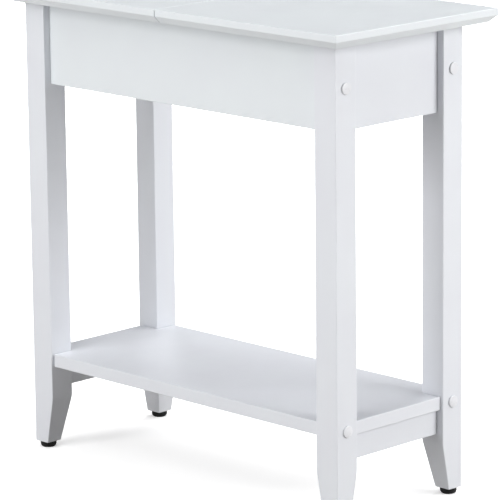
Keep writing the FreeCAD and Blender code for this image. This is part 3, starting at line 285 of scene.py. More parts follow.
def arcs(corners, radius, steps):
    """An arc at each corner of closed outlines: (..., N, 2) becomes (..., N, steps + 1, 2).

    At a corner P, a and b are the unit directions to its neighbours and t the angle
    between them. The arc's centre lies r / sin(t / 2) from P along the bisector. With u
    and w the unit radii to the points where the arc meets the two sides and f = pi - t,
    the arc is centre + r (sin((1 - s) f) u + sin(s f) w) / sin f for s from 0 to 1.
    """
    corners = np.asarray(corners, float)
    r = np.broadcast_to(np.asarray(radius, float), corners.shape[:-1])[..., None]
    a = unit(np.roll(corners, 1, -2) - corners)
    b = unit(np.roll(corners, -1, -2) - corners)
    t = np.arccos(np.clip((a * b).sum(-1, keepdims=True), -1, 1))
    centre = corners + unit(a + b) * r / np.sin(t / 2)
    reach = r / np.tan(t / 2)
    u = ((corners + a * reach - centre) / r)[..., None, :]
    w = ((corners + b * reach - centre) / r)[..., None, :]
    f = (np.pi - t)[..., None, :]
    s = np.linspace(0, 1, steps + 1)[:, None]
    swept = (np.sin((1 - s) * f) * u + np.sin(s * f) * w) / np.sin(f)
    return centre[..., None, :] + r[..., None, :] * swept


def rounded(corners, radius, steps=4):
    """Closed outlines with an arc at every corner."""
    made = arcs(corners, radius, steps)
    return made.reshape(*made.shape[:-3], -1, 2)


def bends(points, radii, steps=4):
    """The arcs at the inner corners of an open line, without its two end points."""
    radii = np.pad(np.broadcast_to(radii, len(points) - 2), 1, "edge")
    return arcs(points, radii, steps)[1:-1].reshape(-1, 2)


def inset(corners, depths):
    """A right-angled anticlockwise outline with its sides moved inwards.

    depths, shaped (rings, sides), holds how far each side moves along its own inward
    normal; side i runs from corner i to corner i + 1. A corner moves with both its sides.
    """
    course = unit(np.roll(corners, -1, 0) - corners)
    move = depths[..., None] * np.stack([-course[:, 1], course[:, 0]], -1)
    return corners + move + np.roll(move, 1, -2)


def rounding(heights, low, high, radius):
    """How far a quarter-round edge of a radius lies inside at heights between low and high.

    With d the distance to the nearer face, it is r - sqrt(r^2 - (r - d)^2) for d below r.
    """
    near = np.minimum(heights - low, high - heights)
    rest = np.clip(radius - near, 0, radius)
    return radius - np.sqrt(np.maximum(radius**2 - rest**2, 0))


def ease_steps(radius, steps=4):
    """Depths at which a quarter-round edge gets its points: r (1 - cos a), a from 0 to 90."""
    return radius * (1 - np.cos(np.linspace(0, np.pi / 2, steps + 1)))


def rectangle(low_a, low_b, high_a, high_b):
    """Corners of a rectangle, anticlockwise from its lowest corner."""
    return np.array([(low_a, low_b), (high_a, low_b), (high_a, high_b), (low_a, high_b)])


def level_rings(outlines, heights):
    """A grid of points from outlines in X and Y, one at each height."""
    z = np.broadcast_to(heights[:, None, None], (*outlines.shape[:2], 1))
    return np.concatenate([outlines, z], -1)


def slab(corners, low, high, ease, corner_radius):
    """A flat board: its outline carried up a section with two quarter-round edges.

    Each ring is the outline moved inwards by the rounding at its height.
    """
    deep = 2 * ease
    section = bends([(deep, low), (0, low), (0, high), (deep, high)], ease)
    depths = np.repeat(section[:, :1], len(corners), 1)
    return level_rings(rounded(inset(corners, depths), corner_radius), section[:, 1])


def carried(sections, axis, stations):
    """Sections carried along a straight path, one at each station of an axis.

    The two coordinates of a section are the other two axes. A section runs anticlockwise
    seen with its first axis to the right and its second one up, so along Y the rings go
    backwards for the faces to point outwards.
    """
    across = [i for i in range(3) if i != axis]
    rings = np.empty((len(stations), np.shape(sections)[-2], 3))
    rings[..., across] = sections
    rings[..., axis] = np.asarray(stations)[:, None]
    return rings[::-1] if axis == 1 else rings


def turned(profile, segments=48):
    """A profile of (radius, height) points turned about Z: (r cos a, r sin a, h)."""
    angles = np.linspace(0, 2 * np.pi, segments, endpoint=False)
    radii, heights = profile[:, :1], profile[:, 1:]
    return np.stack(
        [radii * np.cos(angles), radii * np.sin(angles), heights + 0 * angles], -1
    )


def placed(rings, place, towards=(0, 0, 1)):
    """Rings turned from +Z to a direction and moved to a place."""
    turn = Vector(towards).to_track_quat("Z", "Y").to_matrix()
    return rings @ np.array(turn).T + np.array(place)


def faces_of(rings, first):
    """Quads between neighbouring rings, each ring closed, and one flat face at each end."""
    rows, count = rings.shape[:2]
    start = first + count * np.arange(rows - 1)[:, None]
    here, after = np.arange(count), (np.arange(count) + 1) % count
    corners = [start + here, start + after, start + count + after, start + count + here]
    quads = np.stack(corners, -1).reshape(-1, 4).tolist()
    return quads + [(first + here[::-1]).tolist(), (first + count * (rows - 1) + here).tolist()]


def solid(name, *forms):
    """One object from closed forms, each a grid of rings."""
    points, faces = [], []
    for rings in forms:
        faces += faces_of(rings, sum(map(len, points)))
        points.append(rings.reshape(-1, 3))
    mesh = bpy.data.meshes.new(name)
    mesh.from_pydata(np.concatenate(points).tolist(), [], faces)
    mesh.validate()
    piece = bpy.data.objects.new(name, mesh)
    bpy.context.scene.collection.objects.link(piece)
    return piece


def cut(piece, *forms):
    """Takes closed forms out of a piece."""
    tool = solid("cutting_tool", *forms)
    change = piece.modifiers.new("cut", "BOOLEAN")
    change.operation, change.solver, change.object = "DIFFERENCE", "EXACT", tool
    # The forms may run into each other, as a hinge's plate and case do
    change.use_self = True
    made = piece.evaluated_get(bpy.context.evaluated_depsgraph_get())
    mesh = bpy.data.meshes.new_from_object(made)
    if len(mesh.polygons) <= len(piece.data.polygons):
        raise RuntimeError(f"{piece.name} was not cut")
    piece.modifiers.clear()
    plain, piece.data = piece.data, mesh
    mesh.name = piece.name
    bpy.data.meshes.remove(plain)
    bpy.data.objects.remove(tool)
    return piece


def finished(piece, material, slot, body, *nodes):
    """Shades a new piece, dresses it and fastens it to its body in place of CAD nodes."""
    mesh = piece.data
    mesh.polygons.foreach_set("use_smooth", [True] * len(mesh.polygons))
    mesh.set_sharp_from_angle(angle=math.radians(SHARP_ANGLE))
    even = piece.modifiers.new("even_faces", "WEIGHTED_NORMAL")
    even.keep_sharp = True
    mesh.materials.clear()
    mesh.materials.append(material)
    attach(piece, body)
    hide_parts(*nodes)
    return piece


def dressed(material, *nodes):
    """Gives CAD nodes that stay a material."""
    for name in nodes:
        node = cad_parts[name]
        if not node.material_slots:
            node.data.materials.append(None)
        for slot in node.material_slots:
            slot.material = material


# ---------------------------------------------------------------- materials


def add_node(tree, kind, settings, sockets):
    """Adds a node with settings by name and sockets by name or number.

    A socket takes a value, or the output of another node that is linked to it.
    """
    node = tree.nodes.new(kind)
    for name, setting in settings.items():
        setattr(node, name, setting)
    for name, given in sockets.items():
        if isinstance(given, bpy.types.NodeSocket):
            tree.links.new(given, node.inputs[name])
        else:
            node.inputs[name].default_value = given
    return node


def finish(name, tones, tone_wave, gloss, gloss_wave, reliefs, constants):
    """A material whose colour and gloss drift from place to place over a fine relief.

    It drifts between two linear colours and two roughnesses. A wave is the length in
    metres of one wave of a drift, or one length for each axis where the drift is drawn
    out, as along wood grain. reliefs are pairs of a wave and a depth in metres. The
    constants are set on the shader's own sockets.
    """
    if name in bpy.data.materials:
        return bpy.data.materials[name]
    material = bpy.data.materials.new(name)
    material.use_nodes = True
    tree = material.node_tree
    tree.nodes.clear()
    place = add_node(tree, "ShaderNodeTexCoord", {}, {}).outputs["Object"]
    drifts = []
    for wave, low, high in (
        (tone_wave, 0, 1),
        (gloss_wave, *gloss),
        *((wave, 0, 1) for wave, depth in reliefs),
    ):
        scale = tuple(1 / np.broadcast_to(wave, 3))
        waves = add_node(tree, "ShaderNodeMapping", {}, {"Vector": place, "Scale": scale})
        sockets = {"Vector": waves.outputs[0], "Scale": 1.0, "Detail": CLOUD_DETAIL}
        cloud = add_node(tree, "ShaderNodeTexNoise", {}, sockets)
        sockets = {"Value": cloud.outputs[0], "From Min": CLOUD_LOW, "From Max": CLOUD_HIGH}
        sockets |= {"To Min": low, "To Max": high}
        drifts.append(add_node(tree, "ShaderNodeMapRange", {}, sockets).outputs[0])
    tone, roughness, *heights = drifts
    sockets = {FACTOR: tone, FIRST: (*tones[0], 1), SECOND: (*tones[1], 1)}
    mixed = add_node(tree, "ShaderNodeMix", {"data_type": "RGBA"}, sockets)
    sockets = {"Base Color": mixed.outputs[MIXED], "Roughness": roughness, **constants}
    for height, (wave, depth) in zip(heights, reliefs):
        below = {"Normal": sockets["Normal"]} if "Normal" in sockets else {}
        bump = {"Height": height, "Distance": depth, "Strength": 1.0, **below}
        sockets["Normal"] = add_node(tree, "ShaderNodeBump", {}, bump).outputs[0]
    shader = add_node(tree, "ShaderNodeBsdfPrincipled", {}, sockets)
    add_node(tree, "ShaderNodeOutputMaterial", {}, {"Surface": shader.outputs[0]})
    return material


def along(axis, fibre, width):
    """The wave of a grain: the length of a fibre on one axis, its width on the others."""
    return [fibre if i == axis else width for i in range(3)]


def darker(tone, share):
    """A linear colour times a share, which is lighter where the share is over 1."""
    return tuple(part * share for part in tone)


def lacquer(colours, axis=None, batch="cool"):
    """Satin lacquer: sprayed on board, or on wood whose grain runs along an axis.

    Spraying leaves a faint orange peel of waves about 4 mm long, and a gloss that
    changes a little from place to place. On wood the open grain shows through the film
    as shallow lines about 1 mm apart. The end frames and the shelf are of a batch that
    is a hair warmer than that of the top and the long aprons.
    """
    peel = (4 * MM, 0.014 * MM)
    grain = (along(axis, 60 * MM, 1.1 * MM), 0.012 * MM)
    ground = "board" if axis is None else f"wood_along_{'xyz'[axis]}"
    tones = colours.paint_shade, colours.paint
    if batch == "warm":
        tones = colours.frame_paint_shade, colours.frame_paint
    return finish(
        f"sprayed_{batch}_satin_lacquer_on_{ground}",
        tones,
        tone_wave=90 * MM,
        gloss=(0.36, 0.44),
        gloss_wave=25 * MM,
        reliefs=[peel] if axis is None else [peel, grain],
        constants={"IOR": 1.5},
    )


def cap_plastic(colours):
    """Polyethylene, injection moulded: soft gloss, light that enters a little, smooth skin."""
    inside = {
        "IOR": 1.51,
        "Subsurface Weight": 0.08,
        "Subsurface Radius": (1.0, 1.0, 1.0),
        "Subsurface Scale": 0.8 * MM,
    }
    return finish(
        "moulded_white_polyethylene",
        (darker(colours.cap, 0.98), colours.cap),
        tone_wave=6 * MM,
        gloss=(0.26, 0.34),
        gloss_wave=3 * MM,
        reliefs=[(1.5 * MM, 0.004 * MM)],
        constants=inside,
    )


def glide_plastic(colours):
    """Black polypropylene, injection moulded: a dull sheen over a fine grained skin."""
    return finish(
        "moulded_black_polypropylene",
        (colours.glide, darker(colours.glide, 1.3)),
        tone_wave=5 * MM,
        gloss=(0.42, 0.55),
        gloss_wave=2 * MM,
        reliefs=[(0.7 * MM, 0.02 * MM)],
        constants={"IOR": 1.49, "Specular IOR Level": 0.25},
    )


def zinc_plate(colours):
    """Steel, zinc plated: grey metal with faint blue, clouded crystals and a soft shine."""
    return finish(
        "zinc_plated_steel",
        (colours.zinc_dark, colours.zinc),
        tone_wave=2.5 * MM,
        gloss=(0.26, 0.42),
        gloss_wave=1.2 * MM,
        reliefs=[(0.5 * MM, 0.006 * MM)],
        constants={"Metallic": 1.0},
    )


def zinc_casting(colours):
    """Zinc alloy, die cast and tumbled: a matt grey metal with a slightly pebbled skin."""
    return finish(
        "die_cast_zinc",
        (darker(colours.casting, 0.85), colours.casting),
        tone_wave=4 * MM,
        gloss=(0.40, 0.52),
        gloss_wave=1.5 * MM,
        reliefs=[(0.6 * MM, 0.015 * MM)],
        constants={"Metallic": 1.0},
    )


def beech_dowel(colours, axis):
    """Beech, turned and sanded: pale, with short dark flecks along the grain."""
    flecks = along(axis, 3 * MM, 0.35 * MM)
    return finish(
        f"turned_beech_along_{'xyz'[axis]}",
        (colours.beech_fleck, colours.beech),
        tone_wave=flecks,
        gloss=(0.55, 0.70),
        gloss_wave=4 * MM,
        reliefs=[(flecks, 0.02 * MM)],
        constants={"IOR": 1.47},
    )


def bumper_vinyl(colours):
    """Soft vinyl, moulded: milky, dull and slightly see-through at its rim."""
    return finish(
        "moulded_soft_vinyl",
        (darker(colours.bumper, 0.93), colours.bumper),
        tone_wave=3 * MM,
        gloss=(0.45, 0.60),
        gloss_wave=1 * MM,
        reliefs=[(0.8 * MM, 0.01 * MM)],
        constants={"IOR": 1.53, "Subsurface Weight": 0.25, "Subsurface Scale": 1.0 * MM},
    )


def floor_paint(colours):
    """Matt wall paint, rolled: even and pale, with almost no gloss.

    Seen directly it has a glow of its own, faint round the table, where it keeps the
    shadows soft, and full where no lamp reaches, so that the floor ends in no horizon.
    Light that bounces from it onto the table is that of a darker floor, which leaves the
    undersides their shade.
    """
    material = finish(
        "rolled_matt_floor_paint",
        (darker(colours.floor, 0.995), colours.floor),
        tone_wave=600 * MM,
        gloss=(0.88, 0.92),
        gloss_wave=40 * MM,
        reliefs=[(3 * MM, 0.02 * MM)],
        constants={"Specular IOR Level": 0.2},
    )
    tree = material.node_tree
    inputs = tree.nodes["Principled BSDF"].inputs
    plain = inputs["Base Color"].links[0].from_socket
    rays = add_node(tree, "ShaderNodeLightPath", {}, {}).outputs
    sockets = {FACTOR: rays["Is Diffuse Ray"], FIRST: plain}
    sockets[SECOND] = (*colours.floor_bounce, 1)
    mixed = add_node(tree, "ShaderNodeMix", {"data_type": "RGBA"}, sockets)
    place = tree.nodes["Texture Coordinate"].outputs["Object"]
    away = add_node(tree, "ShaderNodeVectorMath", {"operation": "LENGTH"}, {0: place})
    sockets = {"Value": away.outputs["Value"], "From Min": GLOW_START, "From Max": GLOW_END}
    sockets |= {"To Min": GLOW, "To Max": FAR_GLOW}
    pale = add_node(tree, "ShaderNodeMapRange", {}, sockets).outputs[0]
    sockets = {"Value": rays["Is Camera Ray"], "To Max": pale}
    glow = add_node(tree, "ShaderNodeMapRange", {}, sockets)
    tree.links.new(mixed.outputs[MIXED], inputs["Base Color"])
    tree.links.new(glow.outputs[0], inputs["Emission Strength"])
    return material


# ---------------------------------------------------------------- outlines of this table


def flat_box(node):
    """Corners of a CAD node's box seen from above, anticlockwise from its lowest corner."""
    low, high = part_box(node)
    return rectangle(low.x, low.y, high.x, high.y)


def notched(half_x, half_y, notch_x, notch_y):
    """A rectangle with a square notch in each corner, anticlockwise."""
    quarter = np.array([(half_x, notch_y), (notch_x, notch_y), (notch_x, half_y)])
    signs = [(1, 1), (-1, 1), (-1, -1), (1, -1)]
    return np.concatenate([(quarter * s)[:: s[0] * s[1]] for s in signs])


def board_on_edge(node, axis, side, sizes, grooved=False):
    """A board that stands on edge along an axis, with all its edges eased.

    side is the direction of its outer face. At a distance d from the nearer end the
    section's sides lie r - sqrt(r^2 - (r - d)^2) further in and its corners are rounded
    by as much less, which makes a ball corner. The groove in the inner face, for the
    bottom panel, runs through with its own small radius.
    """
    low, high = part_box(node)
    ease = sizes.board_ease
    thick = high[1 - axis] - low[1 - axis]
    corners = list(rectangle(0, low.z, thick, high.z))
    outer = np.ones(4)
    if grooved:
        floor = low.z + sizes.groove_rise
        roof, deep = floor + sizes.groove_width, thick - sizes.groove_depth
        corners[2:2] = [(thick, floor), (deep, floor), (deep, roof), (thick, roof)]
        outer = np.array([1, 1, 0, 0, 0, 1, 1, 1])
    near = ease_steps(ease)
    stations = np.concatenate([low[axis] + near, high[axis] - near[::-1]])
    depth = rounding(stations, low[axis], high[axis], ease)[:, None]
    # A corner between two outer sides is eased as a board's edge; one at the groove isn't.
    at_edge = outer * np.roll(outer, 1)
    radii = np.where(at_edge, np.maximum(ease - depth, LEAST_CORNER * ease), sizes.groove_ease)
    sections = rounded(inset(np.array(corners), depth * outer), radii)
    if side < 0:
        sections[..., 0] += low[1 - axis]
    else:
        sections = sections[:, ::-1] * (-1, 1) + (high[1 - axis], 0)
    return carried(sections, axis, stations)


def hole(diameter, depth, place, towards):
    """A round hole that goes in from a place on a face, against its outward direction."""
    radius = diameter / 2
    return placed(turned(np.array([(radius, -depth), (radius, SPARE)])), place, towards)


def hinge_mortises(half, sizes):
    """Forms of the two hinges in the seam edge of a half: plates with a case behind.

    Each outline is a rectangle carried along X. A plate's has half-round ends. half is -1
    for the half of the top on the -X side of the seam and 1 for the other.
    """
    level, seam = middle("lid").z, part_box("lid")[0].x
    tall = sizes.hinge_height / 2
    forms = []
    for place in (-sizes.hinge_across, sizes.hinge_across):
        for width, radius, depth in (
            (sizes.hinge_plate, tall - HAIR, sizes.hinge_sheet),
            (sizes.hinge_case, sizes.hinge_ease, sizes.hinge_sheet + sizes.hinge_depth),
        ):
            wide = width / 2
            corners = rectangle(place - wide, level - tall, place + wide, level + tall)
            ends = sorted([half * (seam - SPARE), half * (seam + depth)])
            forms.append(carried(rounded(corners, radius, steps=8), 0, ends))
    return forms


def top_rings(name, seam_side, sizes):
    """A half of the top as level rings from its underside up.

    Round its three outer sides the section is an upright edge over a 45 degree bevel. At
    the seam, which is one side of the outline, it is a plain edge with two small quarter
    rounds.
    """
    low, high = (corner.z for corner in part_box(name))
    bevel = high - low - sizes.edge_band
    start = bevel + 2 * sizes.bevel_round
    line = [(start, low), (bevel, low), (0, low + bevel), (0, high), (start, high)]
    section = bends(line, [sizes.bevel_round, sizes.bevel_round, sizes.top_round], steps=5)
    depths = np.repeat(section[:, :1], 4, 1)
    depths[:, seam_side] = rounding(section[:, 1], low, high, sizes.seam_ease)
    radii = np.full(4, sizes.corner_ease)
    radii[[seam_side, (seam_side + 1) % 4]] = sizes.seam_ease
    outlines = rounded(inset(flat_box(name), depths), radii)
    return level_rings(outlines, section[:, 1])


def leg_rings(name, sign_x, sign_y, sizes):
    """A leg as level rings, tapered at the foot on its two inner faces.

    An inner face leaves the upright on an arc at the taper's start and runs on into a
    straight line that ends at the foot's width. The line touches the arc's circle where
    their angle, seen from its centre, is atan(drop / run) - acos(radius / reach).
    """
    low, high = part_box(name)
    radius, start, ease = sizes.taper_radius, sizes.taper_start, sizes.foot_ease
    run, drop = radius - (high.x - low.x - sizes.foot_width), start - low.z
    swing = math.atan2(drop, run) - math.acos(radius / math.hypot(run, drop))
    bend = start - radius * math.sin(swing)
    curve = start - radius * np.sin(np.linspace(swing, 0, 8))
    foot, halfway = low.z + ease_steps(ease), (low.z + bend) / 2
    heights = np.concatenate([foot, [halfway], curve, [high.z]])
    below = np.clip(start - heights, 0, radius * math.sin(swing))
    taper = radius - np.sqrt(radius**2 - below**2)
    taper += np.clip(bend - heights, 0, None) * math.tan(swing)
    inner = np.array([sign_y > 0, sign_x < 0, sign_y < 0, sign_x > 0], float)
    edge = rounding(heights, low.z, high.z + ease, ease)
    depths = edge[:, None] + taper[:, None] * inner
    outlines = rounded(inset(flat_box(name), depths), sizes.leg_ease)
    return level_rings(outlines, heights)


# ---------------------------------------------------------------- the pieces


class TABLE_OT_top(Operator):
    """Make the two halves of the top, bevelled underneath and cut out for the hinges"""

    bl_idname = "table.top"
    bl_label = "Top halves"

    def execute(self, context):
        sizes, colours = context.scene.table_sizes, context.scene.table_colours
        for name, body, half, seam_side in (("fixed_top", "frame", -1, 1), ("lid", "lid", 1, 3)):
            piece = solid(f"painted_{name}", top_rings(name, seam_side, sizes))
            cut(piece, *hinge_mortises(half, sizes))
            finished(piece, lacquer(colours), "white_paint", body, name)
        return {"FINISHED"}


class TABLE_OT_legs(Operator):
    """Make the four legs, tapered at the foot on their two inner faces"""

    bl_idname = "table.legs"
    bl_label = "Legs"

    def execute(self, context):
        sizes, colours = context.scene.table_sizes, context.scene.table_colours
        for corner, (sign_x, sign_y) in CORNERS.items():
            name = f"leg_{corner}"
            piece = solid(f"painted_{name}", leg_rings(name, sign_x, sign_y, sizes))
            paint = lacquer(colours, axis=2, batch="warm")
            finished(piece, paint, "white_paint", "frame", name)
        return {"FINISHED"}


class TABLE_OT_aprons(Operator):
    """Make the four aprons with the groove of the bottom panel, nut holes and bumper holes"""

    bl_idname = "table.aprons"
    bl_label = "Aprons"

    def execute(self, context):
        sizes, colours = context.scene.table_sizes, context.scene.table_colours
        for name, axis, side in (
            ("front_apron", 0, -1),
            ("back_apron", 0, 1),
            ("left_end_apron", 1, -1),
            ("right_end_apron", 1, 1),
        ):
            low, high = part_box(name)
            inner = high.y if side < 0 else low.y
            rings = board_on_edge(name, axis, side, sizes, grooved=True)
            piece = solid(f"painted_{name}", rings)
            holes = [
                hole(sizes.bumper_hole, sizes.bumper_depth, seat, (0, 0, 1))
                for seat in bumper_places(sizes)
                if all(low[i] < seat[i] < high[i] for i in (0, 1))
            ]
            if axis == 0:
                level = (low.z + high.z) / 2
                for x in (low.x + sizes.nut_inset, high.x - sizes.nut_inset):
                    holes.append(
                        hole(sizes.nut_hole, sizes.nut_depth, (x, inner, level), (0, -side, 0))
                    )
            if holes:
                cut(piece, *holes)
            batch = "cool" if axis == 0 else "warm"
            finished(piece, lacquer(colours, axis, batch), "white_paint", "frame", name)
        return {"FINISHED"}


class TABLE_OT_stretchers(Operator):
    """Make the two end rails under the shelf"""

    bl_idname = "table.stretchers"
    bl_label = "Stretchers"

    def execute(self, context):
        sizes, colours = context.scene.table_sizes, context.scene.table_colours
        for name, side in (("left_stretcher", -1), ("right_stretcher", 1)):
            piece = solid(f"painted_{name}", board_on_edge(name, 1, side, sizes))
            paint = lacquer(colours, axis=1, batch="warm")
            finished(piece, paint, "white_paint", "frame", name)
        return {"FINISHED"}


class TABLE_OT_shelf(Operator):
    """Make the shelf, notched round the legs, with its nut holes underneath"""

    bl_idname = "table.shelf"
    bl_label = "Shelf"

    def execute(self, context):
        sizes, colours = context.scene.table_sizes, context.scene.table_colours
        low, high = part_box("shelf")
        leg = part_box("leg_back_right")[0]
        corners = notched(high.x, high.y, leg.x - CLEARANCE, leg.y - CLEARANCE)
        rings = slab(corners, low.z, high.z, sizes.board_ease, sizes.board_ease)
        piece = solid("painted_shelf", rings)
        nut_x, nut_y = leg.x - sizes.nut_inset, middle("leg_back_right").y
        holes = [
            hole(sizes.nut_hole, sizes.shelf_nut_depth, (x, y, low.z), (0, 0, -1))
            for x in (-nut_x, nut_x)
            for y in (-nut_y, nut_y)
        ]
        cut(piece, *holes)
        finished(piece, lacquer(colours, batch="warm"), "white_paint", "frame", "shelf")
        return {"FINISHED"}


class TABLE_OT_compartment(Operator):
    """Make the bottom panel of the compartment and paint the rail under the seam"""

    bl_idname = "table.compartment"
    bl_label = "Compartment"

    def execute(self, context):
        sizes, colours = context.scene.table_sizes, context.scene.table_colours
        low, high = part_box("compartment_bottom")
        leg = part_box("leg_back_right")[0]
        corners = notched(high.x, high.y, leg.x - CLEARANCE, leg.y - CLEARANCE)
        rings = slab(corners, low.z, high.z, sizes.panel_ease, sizes.panel_ease)
        piece = solid("painted_compartment_bottom", rings)
        paint = lacquer(colours, batch="warm")
        finished(piece, paint, "white_paint", "frame", "compartment_bottom")
        dressed(lacquer(colours, axis=1, batch="warm"), "seam_rail")
        return {"FINISHED"}


class TABLE_OT_caps(Operator):
    """Make the eight domed caps over the frame bolts"""

    bl_idname = "table.caps"
    bl_label = "Bolt caps"

    def execute(self, context):
        sizes, colours = context.scene.table_sizes, context.scene.table_colours
        radius, rim = sizes.cap_width / 2, sizes.cap_rim
        rise = sizes.cap_rise - rim
        # The dome is part of a ball of radius (r^2 + rise^2) / (2 rise) over an upright rim.
        # Its first two points give way to the rounded edge between the rim and the dome.
        ball = (radius**2 + rise**2) / (2 * rise)
        reach = math.asin(radius / ball)
        angles = np.linspace(reach, CROWN, 12)
        dome = np.stack([ball * np.sin(angles), sizes.cap_rise - ball * (1 - np.cos(angles))], -1)
        line = [(0, 0), (radius, 0), (radius, rim), dome[2]]
        profile = np.concatenate([bends(line, [sizes.cap_foot, sizes.cap_round]), dome[2:]])
        across = middle("leg_back_right").y
        levels = (middle("front_apron").z, middle("shelf").z)
        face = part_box("leg_back_right")[1].x
        forms = [
            placed(turned(profile), (side * face, y, z), (side, 0, 0))
            for side in (-1, 1)
            for y in (-across, across)
            for z in levels
        ]
        piece = solid("domed_bolt_caps", *forms)
        finished(piece, cap_plastic(colours), "cap_plastic", "frame", "bolt_caps")
        return {"FINISHED"}


class TABLE_OT_glides(Operator):
    """Make the four glides, rounded in towards the floor"""

    bl_idname = "table.glides"
    bl_label = "Glides"

    def execute(self, context):
        sizes, colours = context.scene.table_sizes, context.scene.table_colours
        material = glide_plastic(colours)
        radius, foot = sizes.glide_width / 2, sizes.glide_foot / 2
        top, band = sizes.glide_height, sizes.glide_height - sizes.glide_band
        # The side is an arc through the foot's edge that ends upright where the band starts.
        arc = (band**2 + (radius - foot) ** 2) / (2 * (radius - foot))
        angles = np.linspace(-math.asin(band / arc), 0, 9)
        side = np.stack([radius - arc + arc * np.cos(angles), band + arc * np.sin(angles)], -1)
        hollow, roof = sizes.glide_recess / 2, sizes.glide_recess_depth
        line = [(0, roof), (hollow, roof), (hollow, 0), (foot, 0), side[1]]
        radii = [sizes.glide_recess_ease, sizes.glide_ease, sizes.glide_ease]
        below = bends(line, radii, steps=3)
        above = bends([side[-1], (radius, top), (0, top)], sizes.glide_rim, steps=3)
        profile = np.concatenate([below, side[1:], above])
        for corner in CORNERS:
            name = f"glide_{corner}"
            place = middle(name)
            piece = solid(f"moulded_{name}", placed(turned(profile), (place.x, place.y, 0)))
            finished(piece, material, "black_plastic", "frame", name)
        return {"FINISHED"}


def bumper_places(sizes):
    """Middles of the four bumpers on top of the aprons under the lid."""
    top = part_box("front_apron")[1].z
    long_x, end_y = sizes.bumper_along, sizes.bumper_across
    long_y, end_x = middle("back_apron").y, middle("right_end_apron").x
    seats = [(long_x, -long_y), (long_x, long_y), (end_x, -end_y), (end_x, end_y)]
    return [(x, y, top) for x, y in seats]


class TABLE_OT_bumpers(Operator):
    """Make the four soft buttons that the lid rests on"""

    bl_idname = "table.bumpers"
    bl_label = "Lid bumpers"

    def execute(self, context):
        sizes, colours = context.scene.table_sizes, context.scene.table_colours
        radius = sizes.bumper_hole / 2
        line = rectangle(0, -sizes.bumper_depth, radius, 0)
        profile = bends(line, [sizes.bumper_foot, sizes.bumper_round])
        button = turned(profile, segments=32)
        forms = [placed(button, place) for place in bumper_places(sizes)]
        piece = solid("soft_lid_bumpers", *forms)
        finished(piece, bumper_vinyl(colours), "soft_rubber", "frame", "lid_bumpers")
        return {"FINISHED"}


class TABLE_OT_hardware(Operator):
    """Finish the hinges, the stay, the fixings and the dowels"""

    bl_idname = "table.hardware"
    bl_label = "Hardware finishes"

    def execute(self, context):
        colours = context.scene.table_colours
        dressed(
            zinc_plate(colours),
            "frame_bolts",
            "rail_screws",
            "top_brackets",
            "bracket_screws",
            "hinge_screws_fixed",
            "hinge_screws_lid",
            "hinge_link_front",
            "hinge_link_back",
            "stay_arm",
            "stay_screws",
            "stay_stud",
            "stay_washer",
            "glide_nails",
        )
        dressed(
            zinc_casting(colours),
            "barrel_nuts",
            "hinge_fixed_front",
            "hinge_fixed_back",
            "hinge_lid_front",
            "hinge_lid_back",
        )
        dressed(beech_dowel(colours, 0), "apron_dowels")
        across = "end_frame_dowels", "stretcher_dowels", "rail_dowels"
        dressed(beech_dowel(colours, 1), *across)
        return {"FINISHED"}


def heading(azimuth, elevation):
    """A direction away from the table: (sin a cos e, -cos a cos e, sin e)."""
    level = math.cos(elevation)
    return Vector((math.sin(azimuth) * level, -math.cos(azimuth) * level, math.sin(elevation)))


def area_light(name, watts, place, aim, size, spread):
    """A square light at a place that looks at another, its rays spread over some degrees."""
    lamp = bpy.data.lights.new(name, "AREA")
    lamp.shape, lamp.size, lamp.energy = "SQUARE", size, watts
    lamp.spread = math.radians(spread)
    light = bpy.data.objects.new(name, lamp)
    turn = (aim - place).to_track_quat("-Z", "Y")
    light.matrix_world = Matrix.LocRotScale(place, turn, None)
    bpy.context.scene.collection.objects.link(light)


def studio_floor(colours):
    """The floor, a square on which the table stands in the middle."""
    mesh = bpy.data.meshes.new("studio_floor")
    corners = [(x * FLOOR_REACH, y * FLOOR_REACH, 0) for x, y in CORNERS.values()]
    mesh.from_pydata(corners, [], [(0, 1, 2, 3)])
    floor = bpy.data.objects.new("studio_floor", mesh)
    bpy.context.scene.collection.objects.link(floor)
    mesh.materials.append(floor_paint(colours))


def surroundings(sky):
    """White surroundings: they light the table faintly, and look as pale as the far floor."""
    world = bpy.data.worlds.new("white_surroundings")
    world.use_nodes = True
    tree = world.node_tree
    tree.nodes.clear()
    seen = add_node(tree, "ShaderNodeLightPath", {}, {}).outputs["Is Camera Ray"]
    sockets = {"Value": seen, "To Min": sky, "To Max": FAR_GLOW}
    strength = add_node(tree, "ShaderNodeMapRange", {}, sockets).outputs[0]
    sockets = {"Color": (1, 1, 1, 1), "Strength": strength}
    shader = add_node(tree, "ShaderNodeBackground", {}, sockets)
    add_node(tree, "ShaderNodeOutputWorld", {}, {"Surface": shader.outputs[0]})
    return world


def studio_camera(studio):
    """The camera, turned to its azimuth, its elevation and its roll.

    Of its axes, back points from the table to the camera and right is level. Right and up
    are then turned about back by the roll.
    """
    azimuth, roll = studio.azimuth, studio.roll
    back = heading(azimuth, studio.elevation)
    level = Vector((math.cos(azimuth), math.sin(azimuth), 0))
    rise = back.cross(level)
    right = level * math.cos(roll) + rise * math.sin(roll)
    up = rise * math.cos(roll) - level * math.sin(roll)
    turn = Matrix((right, up, back)).transposed().to_quaternion()
    lens = bpy.data.cameras.new("camera")
    lens.lens, lens.sensor_width, lens.clip_end = studio.lens, SENSOR_WIDTH, VIEW_REACH
    camera = bpy.data.objects.new("camera", lens)
    camera.matrix_world = Matrix.LocRotScale(Vector(studio.camera_place), turn, None)
    bpy.context.scene.collection.objects.link(camera)
    return camera


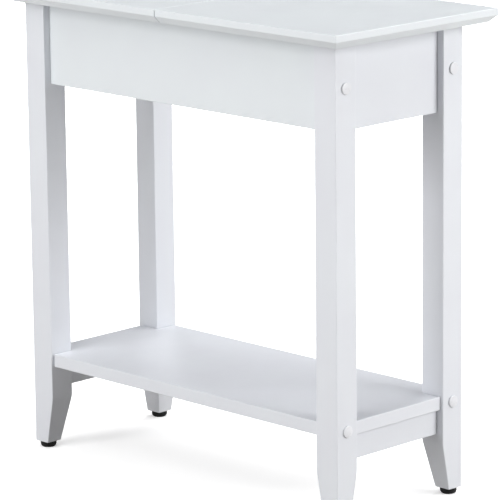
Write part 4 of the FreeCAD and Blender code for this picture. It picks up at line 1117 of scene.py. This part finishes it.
class TABLE_OT_studio(Operator):
    """Make the floor, the soft lights, the surroundings and the camera"""

    bl_idname = "table.studio"
    bl_label = "Studio"

    def execute(self, context):
        scene, studio = context.scene, context.scene.table_studio
        studio_floor(scene.table_colours)
        scene.world = surroundings(studio.sky)
        target = (CAD_BOX[0] + CAD_BOX[1]) / 2
        for name, angles in SOFTBOXES.items():
            watts = getattr(studio, name)
            place = target + SOFTBOX_REACH * heading(*map(math.radians, angles))
            area_light(f"{name}_softbox", watts, place, target, SOFTBOX_SIZE, SOFTBOX_SPREAD)
        above = Vector(FLOOR_LIGHT_PLACE)
        below = above * Vector((1, 1, 0))
        area_light(
            "floor_light", studio.floor, above, below, FLOOR_LIGHT_SIZE, FLOOR_LIGHT_SPREAD
        )
        scene.camera = studio_camera(studio)
        scene.view_settings.view_transform = "Standard"
        return {"FINISHED"}


class TABLE_PT_pieces(Panel):
    """The pieces of the table, in the order in which they are made"""

    bl_idname = "TABLE_PT_pieces"
    bl_label = "Lift-Top End Table"
    bl_space_type = "VIEW_3D"
    bl_region_type = "UI"
    bl_category = "End Table"

    def draw(self, context):
        for operator in OPERATORS:
            self.layout.operator(operator.bl_idname)
        for name in GROUPS:
            group, box = getattr(context.scene, name), self.layout.box()
            for setting in group.bl_rna.properties.keys():
                if setting not in ("rna_type", "name"):
                    box.prop(group, setting)


GROUPS = {"table_sizes": TableSizes, "table_colours": TableColours, "table_studio": TableStudio}
OPERATORS = (
    TABLE_OT_top,
    TABLE_OT_legs,
    TABLE_OT_aprons,
    TABLE_OT_stretchers,
    TABLE_OT_shelf,
    TABLE_OT_compartment,
    TABLE_OT_caps,
    TABLE_OT_glides,
    TABLE_OT_bumpers,
    TABLE_OT_hardware,
    TABLE_OT_studio,
)


def register():
    """Registers the classes and the three groups of settings."""
    for item in (*GROUPS.values(), *OPERATORS, TABLE_PT_pieces):
        bpy.utils.register_class(item)
    for name, group in GROUPS.items():
        setattr(bpy.types.Scene, name, PointerProperty(type=group))


def unregister():
    """Takes back what register() did."""
    for name in GROUPS:
        delattr(bpy.types.Scene, name)
    for item in reversed((*GROUPS.values(), *OPERATORS, TABLE_PT_pieces)):
        bpy.utils.unregister_class(item)


def main():
    """Makes every piece and the studio."""
    register()
    for operator in OPERATORS:
        family, name = operator.bl_idname.split(".")
        getattr(getattr(bpy.ops, family), name)()


if __name__ == "__main__":
    main()
